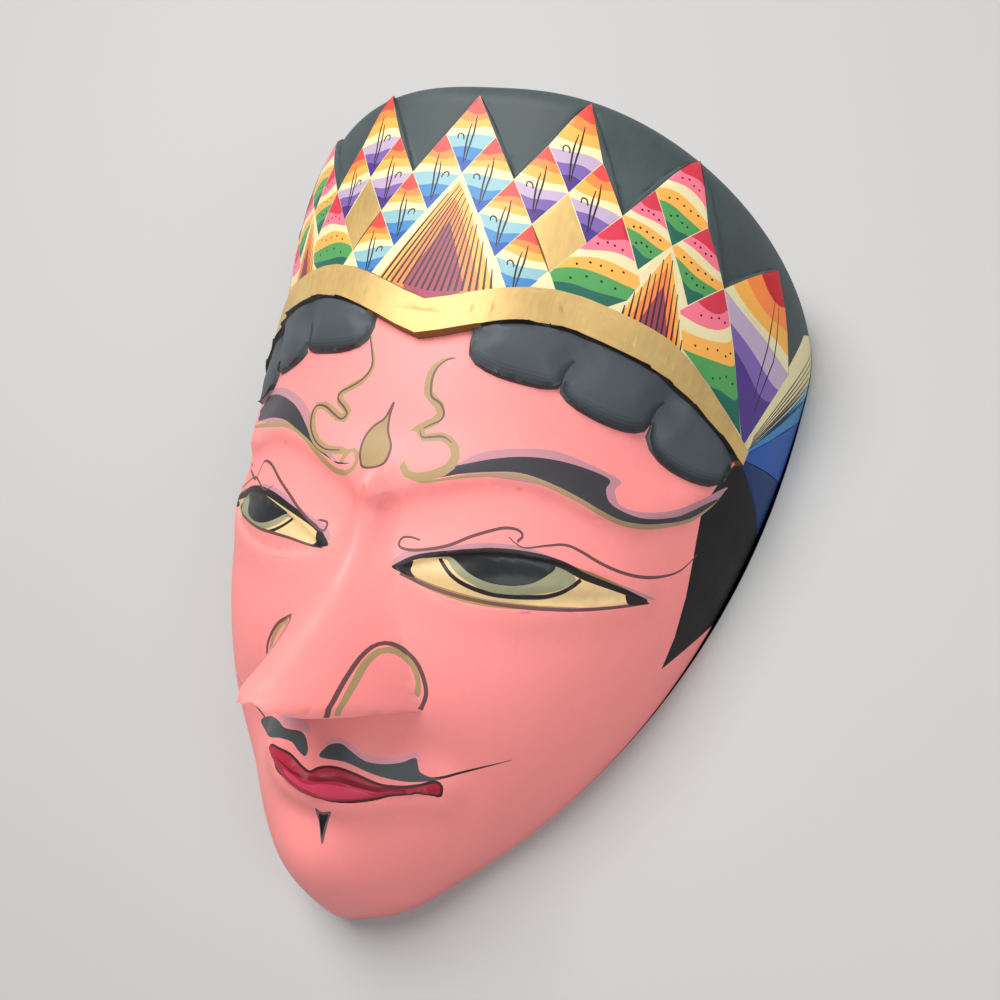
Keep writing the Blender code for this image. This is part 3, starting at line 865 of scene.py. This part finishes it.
RIGHT_SCROLL = [
    (455, 358), (447, 360), (438, 367), (433, 376), (431, 388), (432, 397), (440, 403), (444, 412),
    (441, 420), (430, 425), (420, 430)
]
RIGHT_SCROLL_LOW = [
    (420, 430), (422, 437), (432, 437), (444, 437), (454, 446), (455, 459), (447, 469), (432, 475),
    (417, 477), (405, 473), (403, 466)
]
FOREHEAD_DROP = [
    (394, 402), (390, 415), (388, 430), (391, 445), (389, 455), (384, 464), (374, 468), (363, 467),
    (360, 458), (361, 447), (366, 435), (375, 425), (385, 418)
]
RIGHT_LID = [
    (420, 540), (410, 537), (402, 538), (399, 546), (410, 550), (430, 549), (450, 545), (470, 537),
    (490, 531), (505, 528), (518, 530), (523, 536), (518, 541)
]
RIGHT_LID_TAIL = [
    (509, 537), (515, 543), (525, 548), (545, 546), (565, 545), (580, 551), (600, 563), (620, 572),
    (640, 577), (660, 577), (680, 571), (697, 555)
]
LID_SHADE = [
    (393, 562), (405, 552), (440, 548), (480, 543), (520, 546), (550, 556), (600, 577), (640, 592),
    (655, 600), (620, 592), (560, 566), (510, 554), (450, 556), (410, 566)
]
UPPER_LID_LINE = [
    (393, 567), (410, 559), (430, 555), (480, 552), (510, 553), (540, 558), (565, 566), (585, 577),
    (625, 592), (647, 602)
]
LOWER_LID_LINE = [
    (400, 573), (430, 587), (460, 597), (500, 605), (540, 609), (580, 610), (620, 607), (647, 603)
]
INNER_CORNER = [(392, 567), (402, 563), (413, 560), (410, 570), (414, 577), (402, 573)]
OUTER_CORNER = [(649, 603), (630, 594), (626, 599), (629, 605), (640, 605)]
EYE_WHITE = [
    (404, 566), (416, 558), (440, 556), (500, 553), (560, 566), (600, 584), (628, 597), (624, 604),
    (590, 607), (540, 606), (490, 600), (450, 590), (418, 578)
]
LEFT_LOWER_LID_LINE = [(241, 503), (244, 516), (257, 527), (270, 532), (290, 538), (310, 545), (322, 547)]
LEFT_UNDER_EYE = [
    (244, 516), (257, 527), (270, 532), (290, 538), (310, 545), (322, 548), (330, 556), (305, 570),
    (265, 563), (240, 545), (235, 525)
]
LEFT_EYE_SHIFT = np.array([-0.0002, 0.0012])
LEFT_IRIS_SHIFT = np.array([-0.0034, 0.0014])
IRIS_RING = [
    (440, 558), (447, 560), (455, 572), (470, 583), (490, 592), (515, 595), (540, 594), (560, 590),
    (575, 582), (573, 574), (560, 564), (530, 556), (480, 553)
]
IRIS_EDGE = [(440, 559), (450, 574), (465, 585), (490, 594), (515, 597), (545, 597), (565, 591), (581, 580)]
IRIS = [
    (450, 555), (455, 560), (465, 570), (475, 577), (490, 583), (510, 586), (530, 584), (545, 577),
    (556, 567), (540, 560), (510, 554), (480, 553)
]
RIGHT_NOSE_ARCH = [
    (326, 718), (333, 702), (342, 685), (350, 672), (360, 658), (372, 647), (385, 643), (397, 646),
    (410, 655), (418, 665), (424, 680), (426, 695), (421, 709)
]
RIGHT_NOSE_ARCH_GOLD = [
    (337, 716), (345, 700), (355, 682), (365, 664), (378, 652), (390, 650), (402, 654), (412, 664),
    (418, 680), (418, 694)
]
LEFT_LID = [
    (249, 463), (253, 475), (256, 479), (260, 470), (265, 461), (272, 465), (280, 480), (290, 495),
    (300, 510), (312, 523), (322, 531), (326, 528), (327, 522), (320, 520)
]
LEFT_MOUSTACHE = [
    (261, 720), (270, 716), (278, 720), (285, 728), (300, 731), (306, 738), (308, 750), (305, 756),
    (298, 750), (292, 742), (280, 738), (270, 737), (265, 730)
]
RIGHT_MOUSTACHE = [
    (320, 757), (325, 748), (332, 744), (342, 744), (352, 752), (365, 761), (380, 764), (400, 763),
    (415, 758), (418, 765), (420, 772), (430, 777), (442, 779), (430, 781), (410, 782), (390, 779),
    (370, 773), (345, 762)
]
RIGHT_WHISKER = [(425, 779), (440, 778), (460, 773), (480, 768), (512, 760)]
# Lilac patches between the nose and the moustache: lilac paint that is partly painted shadow under the nose
LEFT_LIP_SHADE = [(278, 718), (292, 715), (308, 724), (310, 733), (300, 730), (286, 726)]
RIGHT_LIP_SHADE = [
    (326, 744), (334, 738), (346, 741), (358, 750), (370, 756), (385, 758), (400, 757), (416, 753),
    (420, 760), (415, 764), (400, 766), (380, 767), (362, 763), (350, 754), (338, 748)
]
CHIN_TUFT = [(315, 808), (322, 812), (331, 812), (328, 822), (322, 845), (319, 822)]
LIPS = [
    (271, 745), (280, 749), (288, 753), (295, 759), (302, 767), (310, 772), (316, 769), (323, 767),
    (333, 767), (345, 770), (360, 776), (373, 782), (385, 786), (400, 787), (418, 786), (432, 782),
    (439, 783), (442, 788), (440, 796), (434, 795), (420, 793), (402, 794), (385, 797), (370, 800),
    (352, 802), (337, 802), (325, 800), (312, 796), (299, 790), (287, 781), (278, 771), (273, 759)
]
# Line of the painted shade in the parting between the lips
LIP_PARTING = [(276, 757), (288, 768), (303, 777), (318, 779), (335, 779), (355, 784), (378, 789), (405, 790)]
LIP_ROSE = [
    (276, 757), (284, 764), (300, 778), (320, 779), (345, 783), (375, 791), (384, 794), (372, 799),
    (345, 802), (322, 799), (300, 789), (284, 775)
]
# Painted highlight on the lower lip
LIP_PAINTED_HIGHLIGHT = [
    (283, 769), (292, 775), (305, 784), (325, 784), (350, 788), (374, 794), (350, 799), (325, 797),
    (303, 788), (290, 779)
]
TUFT_CORE = [(319, 814), (323, 815), (328, 815), (324, 828), (322, 838), (320, 825)]


# Widths of the face's brush strokes, in metres
LID_STROKE = 0.0007
UPPER_LID_STROKE = 0.0016
LOWER_LID_STROKE = 0.0009
IRIS_STROKE = 0.0010
RIGHT_BROW_STROKE = 0.0010
LEFT_BROW_STROKE = 0.0012
LEFT_SCROLL_STROKE = 0.0021
RIGHT_SCROLL_STROKE = 0.0022
SCROLL_LINE = 0.0005
DROP_STROKE = 0.00055
NOSE_ARCH_STROKE = 0.0009
NOSE_GOLD_STROKE = 0.0013
WHISKER_STROKE = 0.0006
PARTING_STROKE = 0.0011
LIP_STROKE = 0.00065


def photo_line(pixels):
    return from_photo(spline(pixels))


def photo_area(pixels):
    return from_photo(spline(pixels, closed=True))


def paint_eye(side):
    mirror = np.array([side, 1])
    shift, iris_shift = (0, 0) if side > 0 else (LEFT_EYE_SHIFT, LEFT_IRIS_SHIFT)
    paint.fill("lid_lilac", photo_area(LID_SHADE) * mirror + shift)
    paint.fill("eye_gold", eye_outline(side) + shift)
    paint.fill("eye_cream", photo_area(EYE_WHITE) * mirror + shift)
    paint.stroke("ink", photo_line(IRIS_EDGE) * mirror + iris_shift, IRIS_STROKE, (0.8, 1, 1, 0.8))
    paint.fill("iris_ring", photo_area(IRIS_RING) * mirror + iris_shift)
    paint.fill("iris", photo_area(IRIS) * mirror + iris_shift)
    upper = photo_line(UPPER_LID_LINE) * mirror + shift
    paint.stroke("ink", upper, UPPER_LID_STROKE, (0.5, 1, 1, 0.6))
    if side < 0:
        paint.fill("skin", photo_area(LEFT_UNDER_EYE))
    lower = photo_line(LOWER_LID_LINE) if side > 0 else photo_line(LEFT_LOWER_LID_LINE)
    paint.stroke("ink_soft", lower, LOWER_LID_STROKE, (1, 0.8, 0.8, 0.6))
    for corner in (INNER_CORNER, OUTER_CORNER):
        paint.fill("ink", photo_area(corner) * mirror + shift)
    paint.stroke("ink_soft", photo_line(RIGHT_LID_TAIL) * mirror, LID_STROKE)


def paint_face():
    for side in (1, -1):
        paint_eye(side)
    for lid in (RIGHT_LID, LEFT_LID):
        paint.stroke("ink_soft", photo_line(lid), LID_STROKE, (0.6, 1, 1, 1, 0.8))
    paint.fill("lid_lilac", photo_area(RIGHT_BROW_HALO))
    paint.stroke("scroll_gold", photo_line(RIGHT_BROW_LINE), RIGHT_BROW_STROKE)
    paint.fill("brow_black", photo_area(RIGHT_BROW))
    paint.fill("lid_lilac", photo_area(LEFT_BROW_HALO))
    paint.stroke("scroll_gold", photo_line(LEFT_BROW_LINE), LEFT_BROW_STROKE, (0.6, 1, 1, 1.1, 0.9))
    paint.fill("brow_black", photo_area(LEFT_BROW))
    for scroll, shift, width in ((LEFT_SCROLL, 0.0003, LEFT_SCROLL_STROKE),
                                 (RIGHT_SCROLL, -0.0006, RIGHT_SCROLL_STROKE)):
        line = photo_line(scroll)
        paint.stroke("scroll_gold", line + (shift, 0), width, (0.15, 0.9, 1, 1, 0.9))
        paint.stroke("ink_soft", line, SCROLL_LINE, (0.8, 1, 1, 0.6))
    low = photo_line(RIGHT_SCROLL_LOW)
    paint.stroke("scroll_gold", low, LEFT_SCROLL_STROKE, (0.9, 0.9, 1, 1, 1, 0.9, 0.8))
    paint.stroke("ink_soft", low[:len(low) * 2 // 5], SCROLL_LINE, (0.3, 1, 1, 0.3))
    drop = photo_area(FOREHEAD_DROP)
    paint.fill("scroll_gold", drop)
    paint.stroke("ink_soft", np.concatenate([drop, drop[:1]]), DROP_STROKE, (1, 1))
    for side in (1, -1):
        mirror = np.array([side, 1])
        gold = photo_line(RIGHT_NOSE_ARCH_GOLD) * mirror
        paint.stroke("scroll_gold", gold, NOSE_GOLD_STROKE, (0.5, 0.8, 1, 1, 0.9))
        arch = photo_line(RIGHT_NOSE_ARCH) * mirror
        paint.stroke("ink_soft", arch, NOSE_ARCH_STROKE, (0.7, 0.8, 1, 1.1, 1))
        paint.stroke("ink", photo_line(RIGHT_WHISKER) * mirror, WHISKER_STROKE, (1, 0.8, 0.2))
    # Lilac patches under the nose are lilac paint, partly painted shadow of the nose; the moustache is
    # painted over them
    for colour, *areas in (("lip_lilac", LEFT_LIP_SHADE, RIGHT_LIP_SHADE),
                           ("moustache", LEFT_MOUSTACHE, RIGHT_MOUSTACHE)):
        for area in areas:
            paint.fill(colour, photo_area(area))
    lips = photo_area(LIPS)
    paint.fill("lip_red", lips)
    paint.fill("lip_rose", photo_area(LIP_ROSE))
    # Painted highlight: a paler pink on the lower lip, over the darker reds above it
    paint.fill("lip_painted_highlight", photo_area(LIP_PAINTED_HIGHLIGHT))
    # Painted shade along the parting between the lips
    paint.stroke("lip_parting_painted_shade", photo_line(LIP_PARTING), PARTING_STROKE, (0.2, 0.7, 1, 1, 0.8, 0.3))
    paint.stroke("lip_line", np.concatenate([lips, lips[:1]]), LIP_STROKE, (1, 1))
    paint.fill("tuft_grey", photo_area(CHIN_TUFT))
    paint.fill("lock_black", photo_area(TUFT_CORE))


paint_crown()
for side in (1, -1):
    paint_side(side)
paint_headband()
paint_face()


# Materials

COLOURS = {
    # name: sRGB colour, roughness, metallic
    "skin": ((240, 139, 135), 0.46, 0),
    "charcoal": ((70, 80, 80), 0.58, 0),
    "hair": ((70, 76, 80), 0.48, 0),
    # Painted shade of the hair locks, in three steps darker towards their lower edges
    "hair_painted_shade_faint": ((61, 67, 70), 0.48, 0),
    "hair_painted_shade_deep": ((51, 56, 59), 0.48, 0),
    "hair_painted_shade_darkest": ((42, 45, 48), 0.48, 0),
    # Painted highlight on the slopes at the edges of the locks
    "hair_rim_painted_highlight": ((74, 83, 84), 0.48, 0),
    "lock_black": ((15, 15, 17), 0.50, 0),
    "gold": ((204, 170, 108), 0.44, 0.26),
    # Painted shade on the slopes at the edges of the headband
    "gold_painted_shade": ((134, 98, 54), 0.50, 0.20),
    "scroll_gold": ((160, 134, 94), 0.48, 0),
    "umber": ((112, 74, 42), 0.50, 0),
    "umber_ink": ((66, 40, 36), 0.42, 0),
    "cream": ((226, 212, 164), 0.42, 0),
    "coral": ((224, 74, 66), 0.40, 0),
    "crimson": ((206, 56, 74), 0.40, 0),
    "red": ((192, 28, 36), 0.40, 0),
    "orange": ((242, 132, 66), 0.40, 0),
    "amber": ((238, 170, 80), 0.40, 0),
    "pink": ((238, 116, 136), 0.40, 0),
    "pale_teal": ((138, 178, 184), 0.42, 0),
    "mid_blue": ((62, 126, 178), 0.40, 0),
    "deep_blue": ((36, 82, 156), 0.40, 0),
    "night_blue": ((10, 46, 96), 0.40, 0),
    "pale_lilac": ((182, 160, 184), 0.42, 0),
    "violet": ((118, 92, 158), 0.40, 0),
    "deep_violet": ((76, 54, 122), 0.40, 0),
    "green": ((80, 150, 84), 0.40, 0),
    "deep_green": ((38, 98, 82), 0.40, 0),
    "plum": ((148, 64, 84), 0.40, 0),
    "ink": ((36, 30, 30), 0.42, 0),
    "ink_soft": ((100, 68, 66), 0.42, 0),
    "brow_black": ((58, 56, 60), 0.44, 0),
    "lid_lilac": ((180, 128, 136), 0.42, 0),
    "eye_gold": ((158, 124, 76), 0.36, 0),
    "eye_cream": ((214, 182, 130), 0.36, 0),
    "iris_ring": ((142, 140, 108), 0.34, 0),
    "iris": ((34, 35, 37), 0.28, 0),
    "moustache": ((68, 72, 74), 0.45, 0),
    # Lilac paint under the nose, partly painted shadow of the nose
    "lip_lilac": ((210, 142, 152), 0.42, 0),
    "lip_red": ((158, 34, 54), 0.36, 0),
    "lip_rose": ((176, 38, 62), 0.34, 0),
    # Painted highlight on the lower lip
    "lip_painted_highlight": ((202, 64, 90), 0.34, 0),
    # Painted shade in the parting between the lips
    "lip_parting_painted_shade": ((118, 20, 36), 0.36, 0),
    "lip_line": ((66, 28, 30), 0.42, 0),
    "tuft_grey": ((110, 84, 80), 0.45, 0),
    "bare_wood": ((186, 146, 104), 0.62, 0),
}
STREAK_SHARE = 0.25         # of the unevenness of the paint that is brush streaks
MOTTLED = {"charcoal": 0.30, "gold": 0.34, "hair": 0.16, "skin": 0.07}
NAMES = list(COLOURS)


def linear(rgb):
    share = np.array(rgb) / 255
    return (*np.where(share < 0.04045, share / 12.92, ((share + 0.055) / 1.055) ** 2.4), 1)


def new_material(name):
    material = bpy.data.materials.new(name)
    material.use_nodes = True
    return material, material.node_tree, material.node_tree.nodes["Principled BSDF"]


def node(tree, kind, links=(), **values):
    """A shader node: `links` are pairs of an output and the input that it goes to, `values` its settings."""
    made = tree.nodes.new(kind)
    for key, value in values.items():
        if key in made.inputs:
            made.inputs[key].default_value = value
        else:
            setattr(made, key, value)
    for source, target in links:
        tree.links.new(source, made.inputs[target])
    return made


def drawn_out(tree, scale):
    """The mask's own coordinates, drawn out along its length."""
    place = node(tree, "ShaderNodeTexCoord").outputs["Object"]
    return node(tree, "ShaderNodeMapping", [(place, "Vector")], Scale=(1.0, scale, 1.0)).outputs["Vector"]


def noise(tree, place, **values):
    return node(tree, "ShaderNodeTexNoise", [(place, "Vector")], **values).outputs["Fac"]


def tinted(tree, shader, factor, span, colours):
    """Colours the surface between two tints, over a span of the factor."""
    tints = node(tree, "ShaderNodeValToRGB", [(factor, "Fac")])
    for element, position, colour in zip(tints.color_ramp.elements, span, colours):
        element.position = position
        element.color = colour
    tree.links.new(tints.outputs["Color"], shader.inputs["Base Color"])


def paint_material(name, rgb, roughness, metallic, mottle):
    """Brushed paint over wood: slow tint changes, brush streaks, faint grain and uneven gloss."""
    material, tree, shader = new_material(name)
    place = node(tree, "ShaderNodeTexCoord").outputs["Object"]
    slow = noise(tree, place, Scale=45.0, Detail=3.0, Roughness=0.55)
    streaks = noise(tree, drawn_out(tree, 0.16), Scale=900.0, Detail=3.0, Roughness=0.6)
    scaled = node(tree, "ShaderNodeMath", [(slow, 0)], operation="MULTIPLY")
    scaled.inputs[1].default_value = 1 - STREAK_SHARE
    mixed = node(tree, "ShaderNodeMath", [(streaks, 0), (scaled.outputs[0], 2)], operation="MULTIPLY_ADD")
    mixed.inputs[1].default_value = STREAK_SHARE
    uneven = mixed.outputs[0]
    base = np.array(linear(rgb))[:3]
    dark, light = base * (1 - mottle), np.minimum(base * (1 + 0.6 * mottle), 1)
    tinted(tree, shader, uneven, (0.25, 0.75), ((*dark, 1), (*light, 1)))
    limits = {"From Min": 0.3, "From Max": 0.7, "To Min": roughness - 0.06, "To Max": roughness + 0.10}
    gloss = node(tree, "ShaderNodeMapRange", [(uneven, "Value")], **limits)
    tree.links.new(gloss.outputs["Result"], shader.inputs["Roughness"])
    bump = node(tree, "ShaderNodeBump", [(uneven, "Height")], Strength=0.35, Distance=0.00012)
    tree.links.new(bump.outputs["Normal"], shader.inputs["Normal"])
    shader.inputs["Metallic"].default_value = metallic
    shader.inputs["Specular IOR Level"].default_value = 0.26
    return material


def wood_material():
    """Bare light wood with grain along the mask and gouge marks."""
    material, tree, shader = new_material("bare_wood")
    grain = noise(tree, drawn_out(tree, 0.06), Scale=420.0, Detail=5.0, Roughness=0.6, Distortion=0.6)
    tinted(tree, shader, grain, (0.3, 0.7), (linear((138, 98, 62)), linear((204, 164, 118))))
    gouges = node(tree, "ShaderNodeTexVoronoi", [(drawn_out(tree, 0.45), "Vector")], Scale=150.0)
    depth = gouges.outputs["Distance"]
    cut = node(tree, "ShaderNodeBump", [(depth, "Height")], Strength=0.8, Distance=0.0008)
    fine = node(tree, "ShaderNodeBump", [(grain, "Height"), (cut.outputs["Normal"], "Normal")],
                Strength=0.3, Distance=0.0002)
    tree.links.new(fine.outputs["Normal"], shader.inputs["Normal"])
    shader.inputs["Roughness"].default_value = 0.62
    return material


def floor_material():
    material, _, shader = new_material("pale_floor")
    shader.inputs["Base Color"].default_value = (0.40, 0.395, 0.385, 1)
    shader.inputs["Roughness"].default_value = 0.6
    return material


# Mask

NOSE_ROOM = 0.35            # share of the nose's height that is hollowed out behind it
NOSE_ROOM_FADE = 0.22       # how far below the nose that hollow fades out, as a share
MERGE_DISTANCE = 1e-5
SHARP_ANGLE = math.radians(55)


def hollow_points(rows):
    """The space behind the face: the shell drawn in by the wall, with room behind the nose."""
    columns = np.linspace(-math.pi / 2, math.pi / 2, HOLLOW_COLUMNS + 1)
    turn_over, turn_up = np.meshgrid(columns, rows)
    across = np.sin(turn_over).ravel()
    along = np.sin(turn_up).ravel()
    points = shell(across, along)
    middle = middle_depth(np.zeros(1))[0]
    points *= (1 - WALL / (WIDTH / 2), 1 - WALL / HALF, 1 - WALL / middle)
    nose = nose_height(across * 0.8, np.clip(along, NOSE_BASE, 1)) * NOSE_ROOM
    points[:, 2] += nose * smooth((along - NOSE_BASE + NOSE_ROOM_FADE) / NOSE_ROOM_FADE)
    return points


def make_mask():
    plan, skin_faces = skin_plan(SKIN_STEP, RIM_STEP, guide_lines() + paint.lines())
    fine = shell_normal(*shares_from_flat(plan)) * fine_height(plan)[:, None]
    skin = carved(plan) + fine + tip_rounding(plan)
    middles = np.array([plan[list(face)].mean(0) for face in skin_faces])
    slots = list(paint.colours(middles, NAMES))
    rim = rim_outline(RIM_STEP)
    rows = rim[:len(rim) // 2 + 1, 1] / HALF
    hollow = hollow_points(rows)
    verts = np.concatenate([skin, hollow])
    faces = [tuple(face) for face in skin_faces]
    wide = HOLLOW_COLUMNS + 1
    first = len(skin)
    for r in range(len(rows) - 1):
        for c in range(HOLLOW_COLUMNS):
            a = first + r * wide + c
            faces.append((a, a + wide, a + wide + 1, a + 1))
    outer = [(half_width(np.sin(t)) * side, HALF * np.sin(t), 0) for side in (-1, 1) for t in rows]
    start = len(verts)
    verts = np.concatenate([verts, outer])
    for r in range(len(rows) - 1):
        left, right = start + r, start + len(rows) + r
        inner_left, inner_right = first + r * wide, first + r * wide + HOLLOW_COLUMNS
        faces.append((left, left + 1, inner_left + wide, inner_left))
        faces.append((right, inner_right, inner_right + wide, right + 1))
    slots += [NAMES.index("bare_wood")] * (len(faces) - len(slots))
    mesh = bpy.data.meshes.new("painted_mask")
    mesh.from_pydata(verts.tolist(), [], faces)
    for name, (rgb, roughness, metallic) in COLOURS.items():
        if name == "bare_wood":
            mesh.materials.append(wood_material())
        else:
            mesh.materials.append(paint_material(name, rgb, roughness, metallic, MOTTLED.get(name, 0.10)))
    mesh.polygons.foreach_set("material_index", np.array(slots, np.int32))
    bm = bmesh.new()
    bm.from_mesh(mesh)
    bmesh.ops.remove_doubles(bm, verts=bm.verts, dist=MERGE_DISTANCE)
    bmesh.ops.dissolve_degenerate(bm, edges=bm.edges, dist=1e-6)
    bmesh.ops.recalc_face_normals(bm, faces=bm.faces)
    bmesh.ops.triangulate(bm, faces=bm.faces)
    bm.to_mesh(mesh)
    bm.free()
    mesh.polygons.foreach_set("use_smooth", np.ones(len(mesh.polygons), bool))
    mesh.set_sharp_from_angle(angle=SHARP_ANGLE)
    item = bpy.data.objects.new("painted_mask", mesh)
    bpy.context.scene.collection.objects.link(item)
    return item


mask = make_mask()
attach(mask, "root")
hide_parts("carved_mask")


# Floor, lights and camera

FLOOR_REACH = 3.0
LIGHT_SIZE = 0.6
LIGHTS_AIM = Vector((0, 0, 0.04))


def make_floor():
    mesh = bpy.data.meshes.new("floor")
    corners = [(x * FLOOR_REACH, y * FLOOR_REACH, 0) for x, y in ((-1, -1), (1, -1), (1, 1), (-1, 1))]
    mesh.from_pydata(corners, [], [(0, 1, 2, 3)])
    mesh.materials.append(floor_material())
    item = bpy.data.objects.new("floor", mesh)
    bpy.context.scene.collection.objects.link(item)
    return item


def area_light(name, place, watts, colour):
    data = bpy.data.lights.new(name, "AREA")
    data.shape = "DISK"
    data.size = LIGHT_SIZE
    data.energy = watts
    data.color = colour
    item = bpy.data.objects.new(name, data)
    item.location = place
    item.rotation_mode = "QUATERNION"
    item.rotation_quaternion = (LIGHTS_AIM - Vector(place)).to_track_quat("-Z", "Y")
    bpy.context.scene.collection.objects.link(item)


make_floor()
area_light("soft_key", (-0.27, 0.30, 0.86), 11.4, (1.0, 0.985, 0.97))
area_light("soft_fill", (0.60, -0.20, 0.60), 3.0, (0.95, 0.97, 1.0))

world = bpy.data.worlds.new("studio")
world.use_nodes = True
background = world.node_tree.nodes["Background"]
background.inputs["Color"].default_value = (0.90, 0.93, 1.0, 1)
background.inputs["Strength"].default_value = 0.35
bpy.context.scene.world = world
bpy.context.scene.view_settings.view_transform = "Standard"

camera_data = bpy.data.cameras.new("camera")
camera_data.sensor_width = SENSOR
camera_data.lens = SENSOR * FOCAL_PIXELS / FRAME_PIXELS
camera_data.clip_start = 0.01
camera_data.clip_end = 20
camera = bpy.data.objects.new("camera", camera_data)
camera.matrix_world = Matrix.Translation(CAMERA_PLACE) @ Matrix(
    (CAMERA_RIGHT, CAMERA_UP, CAMERA_BACK)).transposed().to_4x4()
bpy.context.scene.collection.objects.link(camera)
bpy.context.scene.camera = camera

bpy.context.view_layer.update()
